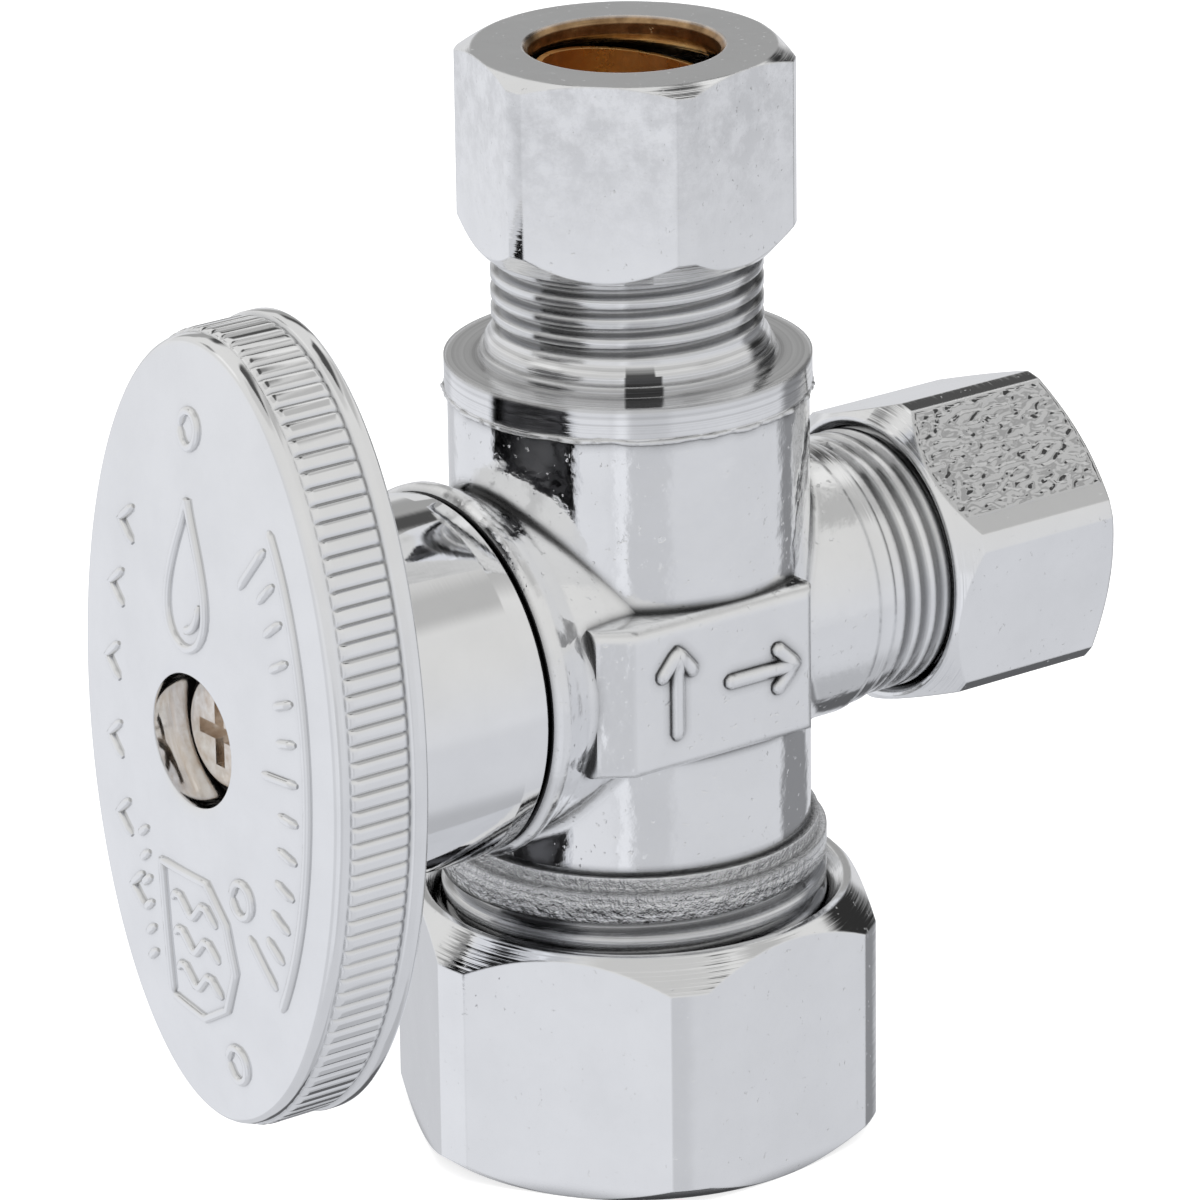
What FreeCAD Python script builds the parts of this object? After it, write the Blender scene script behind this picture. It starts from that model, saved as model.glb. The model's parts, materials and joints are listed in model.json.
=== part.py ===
import FreeCAD, Part
import math
import os
import re
import Sketcher
from FreeCAD import Placement, Rotation, Vector

# Dual-outlet quarter-turn angle stop valve with compression ends.
#
# Row frame, millimetres: +Z is up along the flow axis, +X points out of the side
# outlet and the handle is on -X.  The origin is the centre of the inlet nut's outer
# end face.  The ball's centre is "flow_height" above it, where the flow axis crosses
# the axis that the stem, the handle and the side outlet share.  Pieces around the
# ball are drawn about the ball's centre and lifted by their Placement.  Each nut and
# ferrule is drawn standing on its thread side with its own +Z pointing outwards.

SIZES = [
    # name, value, meaning
    ("flow_height", 28.2, "ball centre above the inlet nut's end face"),
    ("running_gap", 0.05, "radial clearance between parts that turn on each other"),
    ("stack_gap", 0.02, "clearance between parts that rest on each other"),
    ("thread_gap", 0.08, "radial clearance between mating threads"),
    ("ridge_side_gap", 0.1, "nut's thread ridge to the groove's side"),
    ("ridge_tip_gap", 0.15, "nut's thread ridge to the groove's root"),
    ("ridge_runout", 0.6, "end of the ridge before the end of the tapped length"),
    ("overlap", 0.2, "how far joined features run into each other"),
    ("overshoot", 1.0, "how far cutting shapes run past the surface"),
    ("cutter_length", 10.0, "length of the straight cutters for the handle"),
    # forged body
    ("barrel_radius", 9.5, "vertical forged barrel"),
    ("barrel_bottom", -10.7, "barrel's lower end, from the ball centre"),
    ("barrel_top", 13.35, "parting line below the machined collar"),
    ("collar_radius", 9.66, "machined collar"),
    ("collar_top", 15.1, "collar's upper face"),
    ("neck_radius", 7.75, "first step of the neck above the collar"),
    ("neck_step", 0.5, "height of each neck step"),
    ("neck_step_in", 0.25, "how far the second step stands in"),
    ("branch_root_radius", 8.4, "handle branch at the flow axis"),
    ("branch_radius", 8.8, "handle branch where it leaves the barrel"),
    ("branch_waist", 7.2, "ball centre to that place"),
    ("branch_flare_radius", 9.2, "start of the flare to the rim"),
    ("branch_flare", 9.6, "ball centre to that flare"),
    ("branch_rim_radius", 10.0, "rim of the handle branch"),
    ("branch_rim_width", 0.8, "width of that rim"),
    ("branch_rim_round", 0.35, "rounding of the rim at the bonnet seam"),
    ("branch_length", 12.2, "ball centre to the bonnet seam"),
    ("hub_radius", 7.6, "forged hub of the side outlet"),
    ("hub_length", 10.9, "ball centre to the end of the hub"),
    ("hub_ring_radius", 7.38, "machined ring next to the hub"),
    ("hub_ring_end", 12.1, "ball centre to the start of the side thread"),
    ("pad_left", 7.3, "boss pad, reach towards the handle"),
    ("pad_slope", 1.7, "length of its sloping left end"),
    ("pad_drop", 1.2, "drop of that slope"),
    ("pad_right", 4.4, "boss pad, reach towards the side outlet"),
    ("pad_up", 3.95, "boss pad, reach upwards"),
    ("pad_down", 4.2, "boss pad, reach downwards"),
    ("pad_face", 10.2, "boss pad's face from the ball centre"),
    ("pad_round", 0.6, "rounded edge of the boss pad"),
    ("forging_round", 0.8, "fillet where the branches leave the barrel"),
    # compression ends for 3/8 inch tube, 9/16-24 thread
    ("outlet_thread_radius", 7.144, "9/16-24 major radius"),
    ("outlet_pitch", 1.0583, "24 threads to the inch"),
    ("outlet_thread_depth", 0.5, "depth of the outlet thread's groove"),
    ("outlet_thread_lead", 0.4, "chamfer at the outlet thread's end"),
    ("outlet_groove_width", 0.62, "width of the groove at its crest"),
    ("groove_root_width", 0.14, "width of a thread groove at its root"),
    ("top_end", 24.2, "end of the top male thread from the ball centre"),
    ("side_end", 19.0, "end of the side male thread from the ball centre"),
    ("top_groove_start", 16.585, "first groove centre of the top thread"),
    ("side_groove_start", 12.97, "first groove centre of the side thread"),
    ("outlet_socket_radius", 4.85, "socket for 9.525 mm tube"),
    ("outlet_cone_radius", 6.1, "mouth of the sleeve seat"),
    ("outlet_cone_depth", 1.7, "depth of the sleeve seat"),
    ("outlet_socket_depth", 6.7, "male end to the tube stop"),
    ("passage_radius", 3.6, "water way above the ball"),
    ("side_passage_radius", 3.0, "water way beside the ball"),
    # compression end for 5/8 inch tube, 13/16-18 thread
    ("inlet_thread_radius", 10.32, "13/16-18 major radius"),
    ("inlet_pitch", 1.4111, "18 threads to the inch"),
    ("inlet_thread_depth", 0.65, "depth of the inlet thread's groove"),
    ("inlet_thread_lead", 0.7, "chamfer at the inlet thread's end"),
    ("inlet_groove_width", 0.84, "width of the groove at its crest"),
    ("inlet_thread_top", -11.5, "upper end of the inlet thread"),
    ("inlet_end", -20.5, "lower end of the inlet thread"),
    ("inlet_groove_start", -13.0, "highest groove centre of the inlet thread"),
    ("inlet_shoulder_radius", 9.9, "shoulder above the inlet thread"),
    ("inlet_socket_radius", 8.02, "socket for 15.875 mm tube"),
    ("inlet_stop", -11.0, "tube stop from the ball centre"),
    ("inlet_cone_radius", 9.1, "mouth of the sleeve seat"),
    ("inlet_cone_depth", 1.5, "depth of the sleeve seat"),
    # ball and seats
    ("chamber_radius", 7.0, "ball chamber"),
    ("chamber_half", 7.0, "ball centre to the chamber's end"),
    ("ball_radius", 6.5, "ball"),
    ("ball_port", 3.5, "port through the ball"),
    ("slot_width", 2.05, "slot in the ball for the stem's blade"),
    ("slot_floor", 4.8, "ball centre to the slot's floor"),
    ("seat_start", 3.9, "ball centre to the seat's near face"),
    ("seat_sphere", 6.52, "hollow of the seat that the ball rests in"),
    ("retainer_radius", 7.32, "threaded ring that holds the seats"),
    ("retainer_bore", 7.4, "tapped bore for that ring"),
    ("retainer_height", 3.6, "height of the ring"),
    ("retainer_slot", 1.6, "width of the ring's driver slot"),
    ("retainer_slot_depth", 1.1, "depth of that slot"),
    ("retainer_lead", 0.4, "chamfer of the ring"),
    # stem and bonnet
    ("stem_radius", 3.5, "stem"),
    ("flange_radius", 5.2, "collar that keeps the stem in"),
    ("flange_back", 7.35, "collar's inner face from the ball centre"),
    ("flange_front", 8.75, "collar's outer face"),
    ("blade_tip", 4.95, "ball centre to the blade's end"),
    ("blade_thick", 1.95, "blade's thickness"),
    ("blade_span", 6.6, "blade's width"),
    ("washer_back", 8.8, "thrust washer's inner face"),
    ("washer_front", 9.55, "thrust washer's outer face"),
    ("stem_shoulder", 18.9, "end of the round stem"),
    ("stem_square", 4.8, "square end that drives the handle"),
    ("stem_end", 23.5, "end of the square"),
    ("tap_radius", 1.58, "tapped hole for the handle screw"),
    ("tap_depth", 8.0, "depth of that hole"),
    ("groove_floor", 2.6, "floor of the stem's ring grooves"),
    ("groove_width", 1.2, "width of the ring grooves"),
    ("inner_groove", 12.3, "ball centre to the inner ring groove"),
    ("outer_groove", 15.8, "ball centre to the outer ring groove"),
    ("stem_ring_radius", 3.07, "stem O-ring, centre circle"),
    ("stem_ring_section", 0.45, "stem O-ring, section radius"),
    ("bonnet_radius", 9.8, "bonnet"),
    ("bonnet_front", 22.3, "bonnet's front face"),
    ("bonnet_edge", 0.3, "chamfer of the bonnet's front edge"),
    ("bonnet_rear_round", 0.45, "step of the bonnet's rounded rear edge"),
    ("bonnet_rear_length", 1.6, "length of that rounded edge"),
    ("spigot_radius", 7.42, "threaded spigot"),
    ("spigot_bore", 7.5, "tapped bore for the spigot"),
    ("spigot_end", 8.2, "inner end of the spigot"),
    ("washer_pocket", 5.3, "pocket for washer and collar"),
    ("washer_pocket_floor", 9.6, "floor of that pocket"),
    ("bonnet_groove_start", 10.9, "inner side of the spigot's ring groove"),
    ("bonnet_groove_floor", 6.35, "floor of the spigot's ring groove"),
    ("bonnet_ring_radius", 6.9, "bonnet O-ring, centre circle"),
    ("bonnet_ring_section", 0.52, "bonnet O-ring, section radius"),
    ("front_pocket_radius", 6.0, "pocket for the handle's hub"),
    ("front_pocket_floor", 18.6, "floor of that pocket"),
    ("stop_inner", 6.7, "inner radius of the turn stops"),
    ("stop_outer", 9.2, "outer radius of the turn stops"),
    ("stop_height", 1.4, "height of the bonnet's stop lugs"),
    # handle
    ("handle_rear", 21.5, "handle's rear rim from the ball centre"),
    ("grip_rear", 22.6, "rear end of the grip ribs"),
    ("grip_front", 26.2, "front end of the grip ribs"),
    ("face_edge", 27.0, "edge of the domed face"),
    ("face_crown", 28.2, "crown of the domed face"),
    ("side_half_width", 11.4, "half width of the handle's side wall"),
    ("side_half_height", 21.4, "half height of the handle's side wall"),
    ("rib_height", 0.22, "grip rib above the side wall"),
    ("face_half_width", 11.25, "half width of the face's edge"),
    ("face_half_height", 21.0, "half height of the face's edge"),
    ("dome_depth", 30.0, "depth of the ellipsoid that gives the dome"),
    ("cavity_half_width", 10.3, "half width of the hollow"),
    ("cavity_half_height", 20.3, "half height of the hollow"),
    ("cavity_front", 25.6, "hollow's front wall"),
    ("handle_hub_radius", 5.4, "hub around the stem's square"),
    ("handle_hub_end", 19.0, "rear end of the hub"),
    ("socket_floor", 23.6, "floor of the square socket"),
    ("recess_radius", 3.53, "recess for the screw's head"),
    ("recess_floor", 24.35, "floor of the recess"),
    ("screw_clearance", 1.75, "screw hole through the hub"),
    ("tab_clearance", 0.25, "handle tab to the bonnet's front face"),
    # handle screw and lock washer
    ("screw_radius", 1.5, "screw's shank"),
    ("screw_length", 7.6, "screw's shank length"),
    ("head_radius", 3.15, "screw's head"),
    ("head_height", 1.45, "height of the head"),
    ("head_round", 0.8, "rounded edge of the head"),
    ("shank_lead", 0.4, "chamfer at the shank's end"),
    ("cross_half_width", 0.4, "half width of the driver cross"),
    ("cross_reach", 1.8, "reach of the driver cross from the axis"),
    ("cross_depth", 1.0, "depth of the driver cross"),
    ("lock_outer", 3.4, "lock washer, outer radius"),
    ("lock_inner", 1.8, "lock washer, inner radius"),
    ("lock_thick", 0.5, "lock washer's thickness"),
    # outlet nut
    ("outlet_nut_length", 10.66, "length"),
    ("outlet_nut_flats", 15.875, "5/8 inch across flats"),
    ("outlet_nut_corner", 8.9, "turned corner radius"),
    ("outlet_nut_lead_radius", 7.75, "start of the thread-side chamfer"),
    ("outlet_nut_lead", 1.3, "height of the thread-side chamfer"),
    ("outlet_nut_crown_radius", 7.95, "start of the outer chamfer"),
    ("outlet_nut_crown", 0.5, "height of the outer chamfer"),
    ("outlet_nut_mouth", 7.55, "countersink of the thread"),
    ("outlet_nut_throat", 5.0, "throat for 9.525 mm tube"),
    ("outlet_nut_throat_start", 9.75, "lower end of the throat's wall"),
    ("outlet_nut_throat_end", 10.35, "upper end of the throat's wall"),
    ("outlet_nut_lip", 5.28, "eased mouth of the throat"),
    ("outlet_nut_thread_end", 6.6, "end of the tapped length"),
    ("outlet_nut_chamber", 6.5, "sleeve chamber"),
    ("outlet_nut_chamber_end", 7.4, "start of the inner cone"),
    ("top_nut_base", 21.1, "top nut's thread side from the ball centre"),
    ("side_nut_base", 15.9, "side nut's thread side from the ball centre"),
    ("top_nut_turn", 13.5, "degrees of a corner of the top nut"),
    ("side_nut_turn", 11.7, "degrees of a corner of the side nut"),
    # inlet nut
    ("inlet_nut_length", 13.75, "length"),
    ("inlet_nut_flats", 23.81, "15/16 inch across flats"),
    ("inlet_nut_corner", 13.2, "turned corner radius"),
    ("inlet_nut_lead_radius", 11.6, "start of the thread-side chamfer"),
    ("inlet_nut_lead", 1.65, "height of the thread-side chamfer"),
    ("inlet_nut_crown_radius", 11.9, "start of the outer chamfer"),
    ("inlet_nut_crown", 1.0, "height of the outer chamfer"),
    ("inlet_nut_mouth", 11.2, "countersink of the thread"),
    ("inlet_nut_throat", 8.1, "throat for 15.875 mm tube"),
    ("inlet_nut_throat_start", 12.55, "inner end of the throat's wall"),
    ("inlet_nut_thread_end", 9.0, "end of the tapped length"),
    ("inlet_nut_chamber", 9.7, "sleeve chamber"),
    ("inlet_nut_chamber_end", 9.6, "start of the inner cone"),
    ("inlet_nut_turn", -5.6, "degrees of a corner of the inlet nut"),
    # compression sleeves
    ("outlet_sleeve_bore", 4.83, "bore"),
    ("outlet_sleeve_end", 5.15, "radius at the ends"),
    ("outlet_sleeve_barrel", 5.6, "radius of the barrel"),
    ("outlet_sleeve_length", 6.2, "length"),
    ("outlet_sleeve_taper", 1.5, "length of each taper"),
    ("top_sleeve_middle", 26.88, "middle of the top sleeve from the ball centre"),
    ("side_sleeve_middle", 21.7, "middle of the side sleeve from the ball centre"),
    ("sleeve_lean", 9.0, "degrees that the loose top sleeve leans"),
    ("inlet_sleeve_bore", 8.0, "bore"),
    ("inlet_sleeve_end", 8.35, "radius at the ends"),
    ("inlet_sleeve_barrel", 9.0, "radius of the barrel"),
    ("inlet_sleeve_length", 5.8, "length"),
    ("inlet_sleeve_taper", 1.6, "length of each taper"),
    ("inlet_sleeve_middle", 4.8, "middle of the inlet sleeve above the end face"),
]

GRIP_RIBS = 120
STOP_ANGLE = 45.0        # where the handle's tab stands when the valve is open
TAB_HALF_ANGLE = 8.0
LUG_HALF_ANGLE = 7.0
STOP_SLACK_ANGLE = 1.2   # left between tab and lug at each end of the quarter turn
QUARTER_TURN = 90.0
LEAN_DIRECTION = Vector(0.8, -0.6, 0)   # the loose sleeve's top leans this way

FLOW_AXIS = "V_Axis"
STEM_AXIS = "H_Axis"
TO_SIDE = Rotation(Vector(1, 0, 1), 180)     # a nut's +Z to +X, its +X to +Z
TO_INLET = Rotation(Vector(1, 0, 0), 180)    # a nut's +Z to -Z
TO_HANDLE = Rotation(Vector(0, 1, 0), -90)   # +Z to -X, +X to +Z

doc = FreeCAD.newDocument("angle_stop_valve")
sheet = doc.addObject("Spreadsheet::Sheet", "Sizes")
for row, (alias, number, meaning) in enumerate(SIZES, start=1):
    sheet.set(f"A{row}", meaning)
    sheet.set(f"B{row}", str(number))
    sheet.setAlias(f"B{row}", alias)
doc.recompute()

ALIASES = {alias for alias, _, _ in SIZES}
pieces = []


# ---- helpers ---------------------------------------------------------------------

def bound(formula):
    """Write a formula's size names as references to the sheet's cells."""
    return re.sub(r"[a-z]\w*", lambda m: f"Sizes.{m[0]}" if m[0] in ALIASES else m[0], formula)


def size(formula):
    """The present value of a formula, in millimetres or degrees."""
    return float(sheet.evalExpression(bound(formula)))


def bind(item, **formulas):
    """Bind properties of a document object to formulas on the sheet."""
    for path, formula in formulas.items():
        item.setExpression(path, bound(formula))
    return item


def place(item, x="0", y="0", z="0", turn=None):
    """Place an object, with its position bound to the sheet."""
    if turn is not None:
        item.Placement = Placement(Vector(), turn)
    for path, formula in (("x", x), ("y", y), ("z", z)):
        item.setExpression(f"Placement.Base.{path}", bound(formula))
    return item


def part(kind, name, **formulas):
    """A Part primitive with bound sizes."""
    return bind(doc.addObject(f"Part::{kind}", name), **formulas)


def joined(name, shapes):
    fuse = doc.addObject("Part::MultiFuse", name)
    fuse.Shapes = shapes
    return fuse


def cut(name, base, tool):
    result = doc.addObject("Part::Cut", name)
    result.Base = base
    result.Tool = tool
    return result


def finish(item, label):
    """Register a finished sub-part under its node name."""
    item.Label = label
    pieces.append(item)
    return item


def new_body(label):
    return finish(doc.addObject("PartDesign::Body", f"{label}_body"), label)


def new_sketch(body, name, plane="XZ_Plane", offset=None):
    """A sketch on one of the body's own origin planes."""
    sketch = body.newObject("Sketcher::SketchObject", name)
    support = next(f for f in body.Origin.OriginFeatures if f.Role == plane)
    sketch.AttachmentSupport = (support, [""])
    sketch.MapMode = "FlatFace"
    if offset is not None:
        sketch.setExpression("AttachmentOffset.Base.z", bound(offset))
    return sketch


def pin_point(sketch, index, corner):
    """Hold the start of one edge at a corner given by two formulas."""
    for kind, formula in zip(("DistanceX", "DistanceY"), corner):
        number = sketch.addConstraint(Sketcher.Constraint(kind, -1, 1, index, 1, size(formula)))
        sketch.setExpression(f"Constraints[{number}]", bound(formula))


def outline(body, name, corners, plane="XZ_Plane", offset=None):
    """A closed outline whose corners are formulas on the sheet."""
    sketch = new_sketch(body, name, plane, offset)
    points = [Vector(size(a), size(b), 0) for a, b in corners]
    for start, end in zip(points, points[1:] + points[:1]):
        sketch.addGeometry(Part.LineSegment(start, end))
    for index in range(len(points)):
        sketch.addConstraint(Sketcher.Constraint("Coincident", index, 2, (index + 1) % len(points), 1))
    for index, corner in enumerate(corners):
        pin_point(sketch, index, corner)
    return sketch


def around(body, kind, name, axis, corners):
    """Turn an outline of (radius, height) or (length, radius) corners about an axis."""
    sketch = outline(body, f"{name}_outline", corners)
    feature = body.newObject(f"PartDesign::{kind}", name)
    feature.Profile = sketch
    feature.ReferenceAxis = (sketch, [axis])
    feature.Angle = 360
    doc.recompute()
    return feature


def straight(body, kind, name, corners, plane, length, offset=None, reverse=False):
    """Pad or pocket an outline."""
    feature = body.newObject(f"PartDesign::{kind}", name)
    feature.Profile = outline(body, f"{name}_outline", corners, plane, offset)
    feature.Reversed = reverse
    bind(feature, Length=length)
    doc.recompute()
    return feature


def helix(body, kind, name, axis, corners, pitch, height, downwards=False):
    """Sweep a groove or ridge along a right-handed helix."""
    sketch = outline(body, f"{name}_outline", corners)
    feature = body.newObject(f"PartDesign::{kind}", name)
    feature.Profile = sketch
    feature.ReferenceAxis = (sketch, [axis])
    feature.Mode = "pitch-height-angle"
    feature.Reversed = downwards
    bind(feature, Pitch=pitch, Height=height)
    doc.recompute()
    return feature


def thread_groove(radius, depth, width, start, along_x):
    """Corners of a V groove with a narrow flat root, cut into a thread's crest."""
    outer = f"({radius} + overlap)"
    root = f"({radius} - {depth})"
    half = f"({width} / 2)"
    half_root = "(groove_root_width / 2)"
    corners = [
        (outer, f"{start} - {half}"),
        (outer, f"{start} + {half}"),
        (radius, f"{start} + {half}"),
        (root, f"{start} + {half_root}"),
        (root, f"{start} - {half_root}"),
        (radius, f"{start} - {half}"),
    ]
    return [(b, a) for a, b in corners] if along_x else corners


def rounded(body, name, radius, chosen):
    """Round the edges of the body's tip that a test picks out."""
    tip = body.Tip
    names = [f"Edge{i}" for i, edge in enumerate(tip.Shape.Edges, start=1) if chosen(edge)]
    feature = body.newObject("PartDesign::Fillet", name)
    feature.Base = (tip, names)
    bind(feature, Radius=radius)
    doc.recompute()
    return feature


def rectangle(half_a, half_b):
    return [(f"-{half_a}", f"-{half_b}"), (half_a, f"-{half_b}"), (half_a, half_b), (f"-{half_a}", half_b)]


# ---- forged body -------------------------------------------------------------------

def is_branch_root(edge):
    """Whether an edge is a long saddle-shaped one, where a branch meets the barrel."""
    box = edge.BoundBox
    bent_every_way = min(box.XLength, box.YLength, box.ZLength) > size("overshoot")
    return bent_every_way and edge.Length > size("barrel_radius")


def make_valve_body():
    body = new_body("valve_body")
    around(body, "Revolution", "Barrel", FLOW_AXIS, [
        ("0", "inlet_end"),
        ("inlet_thread_radius - inlet_thread_lead", "inlet_end"),
        ("inlet_thread_radius", "inlet_end + inlet_thread_lead"),
        ("inlet_thread_radius", "inlet_thread_top"),
        ("inlet_shoulder_radius", "inlet_thread_top"),
        ("inlet_shoulder_radius", "barrel_bottom"),
        ("barrel_radius", "barrel_bottom"),
        ("barrel_radius", "barrel_top"),
        ("collar_radius", "barrel_top"),
        ("collar_radius", "collar_top"),
        ("neck_radius", "collar_top"),
        ("neck_radius", "collar_top + neck_step"),
        ("neck_radius - neck_step_in", "collar_top + neck_step"),
        ("neck_radius - neck_step_in", "collar_top + 2 * neck_step"),
        ("outlet_thread_radius", "collar_top + 3 * neck_step"),
        ("outlet_thread_radius", "top_end - outlet_thread_lead"),
        ("outlet_thread_radius - outlet_thread_lead", "top_end"),
        ("0", "top_end"),
    ])
    around(body, "Revolution", "Branches", STEM_AXIS, [
        ("-branch_length", "0"),
        ("-branch_length", "branch_rim_radius - branch_rim_round"),
        ("-branch_length + branch_rim_round", "branch_rim_radius"),
        ("-branch_length + branch_rim_width", "branch_rim_radius"),
        ("-branch_length + 2 * branch_rim_width", "(branch_rim_radius + branch_flare_radius) / 2"),
        ("-branch_flare", "branch_flare_radius"),
        ("-branch_waist", "branch_radius"),
        ("0", "branch_root_radius"),
        ("0", "hub_radius"),
        ("hub_length", "hub_radius"),
        ("hub_length", "hub_ring_radius"),
        ("hub_ring_end", "hub_ring_radius"),
        ("hub_ring_end", "outlet_thread_radius"),
        ("side_end - outlet_thread_lead", "outlet_thread_radius"),
        ("side_end", "outlet_thread_radius - outlet_thread_lead"),
        ("side_end", "0"),
    ])
    straight(body, "Pad", "Boss", [
        ("-pad_left - pad_slope", "0"),
        ("-pad_left - pad_slope", "-pad_face + pad_drop"),
        ("-pad_left", "-pad_face"),
        ("pad_right", "-pad_face"),
        ("pad_right", "0"),
    ], "XY_Plane", "pad_up + pad_down", offset="-pad_down")
    crown = -size("pad_face - pad_drop")
    rounded(body, "BossRound", "pad_round",
            lambda edge: all(v.Point.y < crown + 1e-4 for v in edge.Vertexes)
            and min(v.Point.y for v in edge.Vertexes) < crown - 0.1)
    rounded(body, "ForgingRound", "forging_round", is_branch_root)
    around(body, "Groove", "FlowBore", FLOW_AXIS, [
        ("0", "inlet_end - overshoot"),
        ("inlet_cone_radius", "inlet_end - overshoot"),
        ("inlet_cone_radius", "inlet_end"),
        ("inlet_socket_radius", "inlet_end + inlet_cone_depth"),
        ("inlet_socket_radius", "inlet_stop"),
        ("retainer_bore", "inlet_stop"),
        ("retainer_bore", "-chamber_half"),
        ("chamber_radius", "-chamber_half"),
        ("chamber_radius", "chamber_half"),
        ("passage_radius", "chamber_half"),
        ("passage_radius", "top_end - outlet_socket_depth"),
        ("outlet_socket_radius", "top_end - outlet_socket_depth"),
        ("outlet_socket_radius", "top_end - outlet_cone_depth"),
        ("outlet_cone_radius", "top_end"),
        ("outlet_cone_radius", "top_end + overshoot"),
        ("0", "top_end + overshoot"),
    ])
    around(body, "Groove", "StemBore", STEM_AXIS, [
        ("-branch_length - overshoot", "0"),
        ("-branch_length - overshoot", "spigot_bore"),
        ("-spigot_end + 2 * running_gap", "spigot_bore"),
        ("-spigot_end + 2 * running_gap", "flange_radius + 4 * running_gap"),
        ("0", "flange_radius + 4 * running_gap"),
        ("0", "side_passage_radius"),
        ("side_end - outlet_socket_depth", "side_passage_radius"),
        ("side_end - outlet_socket_depth", "outlet_socket_radius"),
        ("side_end - outlet_cone_depth", "outlet_socket_radius"),
        ("side_end", "outlet_cone_radius"),
        ("side_end + overshoot", "outlet_cone_radius"),
        ("side_end + overshoot", "0"),
    ])
    helix(body, "SubtractiveHelix", "TopThread", FLOW_AXIS,
          thread_groove("outlet_thread_radius", "outlet_thread_depth", "outlet_groove_width",
                        "top_groove_start", False),
          "outlet_pitch", "top_end - top_groove_start + outlet_pitch")
    helix(body, "SubtractiveHelix", "SideThread", STEM_AXIS,
          thread_groove("outlet_thread_radius", "outlet_thread_depth", "outlet_groove_width",
                        "side_groove_start", True),
          "outlet_pitch", "side_end - side_groove_start + outlet_pitch")
    helix(body, "SubtractiveHelix", "InletThread", FLOW_AXIS,
          thread_groove("inlet_thread_radius", "inlet_thread_depth", "inlet_groove_width",
                        "inlet_groove_start", False),
          "inlet_pitch", "inlet_groove_start - inlet_end + inlet_pitch", downwards=True)
    place(body, z="flow_height")


# ---- ball, seats and retainer --------------------------------------------------------

def make_ball():
    sphere = part("Sphere", "BallSphere", Radius="ball_radius")
    port = place(part("Cylinder", "BallPort", Radius="ball_port", Height="4 * ball_radius"),
                 z="-2 * ball_radius")
    side = part("Cylinder", "BallSidePort", Radius="side_passage_radius", Height="2 * ball_radius")
    side.Placement = Placement(Vector(), Rotation(Vector(0, 1, 0), 90))
    slot = part("Box", "BallSlot", Length="ball_radius", Width="slot_width", Height="4 * ball_radius")
    place(slot, x="-slot_floor - ball_radius", y="-slot_width / 2", z="-2 * ball_radius")
    ball = cut("Ball", sphere, joined("BallOpenings", [port, side, slot]))
    place(finish(ball, "ball"), z="flow_height")


def make_seat(label, name, sign):
    """A seat ring, above the ball for sign "" and below it for sign "-"."""
    height = "(chamber_half - seat_start)"
    base = "seat_start" if sign == "" else "-chamber_half"
    ring = part("Cylinder", f"{name}Ring", Radius="chamber_radius - running_gap",
                Height=f"{height} - stack_gap")
    way = part("Cylinder", f"{name}Way", Radius="passage_radius", Height=f"3 * {height}")
    place(ring, z=f"{base} + stack_gap / 2")
    place(way, z=f"{base} - {height}")
    hollow = part("Sphere", f"{name}Hollow", Radius="seat_sphere")
    seat = cut(name, ring, joined(f"{name}Openings", [way, hollow]))
    place(finish(seat, label), z="flow_height")


def make_retainer():
    body = new_body("seat_retainer")
    top = "-chamber_half - stack_gap"
    bottom = "-chamber_half - retainer_height"
    around(body, "Revolution", "Ring", FLOW_AXIS, [
        ("passage_radius", bottom),
        ("retainer_radius - retainer_lead", bottom),
        ("retainer_radius", f"{bottom} + retainer_lead"),
        ("retainer_radius", top),
        ("passage_radius", top),
    ])
    straight(body, "Pocket", "DriverSlot", rectangle("(retainer_slot / 2)", "retainer_bore"),
             "XY_Plane", "retainer_slot_depth + overlap", offset=f"{bottom} - overlap", reverse=True)
    place(body, z="flow_height")


# ---- stem, bonnet and their rings -----------------------------------------------------

def make_stem():
    body = new_body("stem")
    corners = [
        ("-flange_back", "0"),
        ("-flange_back", "flange_radius"),
        ("-flange_front", "flange_radius"),
        ("-flange_front", "stem_radius"),
    ]
    for middle in ("inner_groove", "outer_groove"):
        corners += [
            (f"-{middle} + groove_width / 2", "stem_radius"),
            (f"-{middle} + groove_width / 2", "groove_floor"),
            (f"-{middle} - groove_width / 2", "groove_floor"),
            (f"-{middle} - groove_width / 2", "stem_radius"),
        ]
    corners += [
        ("-stem_shoulder", "stem_radius"),
        ("-stem_shoulder", "0"),
    ]
    around(body, "Revolution", "Turned", STEM_AXIS, corners)
    straight(body, "Pad", "Blade", rectangle("(blade_thick / 2)", "(blade_span / 2)"),
             "YZ_Plane", "flange_back - blade_tip + overlap", offset="-flange_back - overlap")
    straight(body, "Pad", "Square", rectangle("(stem_square / 2)", "(stem_square / 2)"),
             "YZ_Plane", "stem_end - stem_shoulder + overlap",
             offset="-stem_shoulder + overlap", reverse=True)
    around(body, "Groove", "TappedHole", STEM_AXIS, [
        ("-stem_end - overshoot", "0"),
        ("-stem_end - overshoot", "tap_radius"),
        ("-stem_end + tap_depth", "tap_radius"),
        ("-stem_end + tap_depth + tap_radius / 2", "0"),
    ])
    place(body, z="flow_height")


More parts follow.
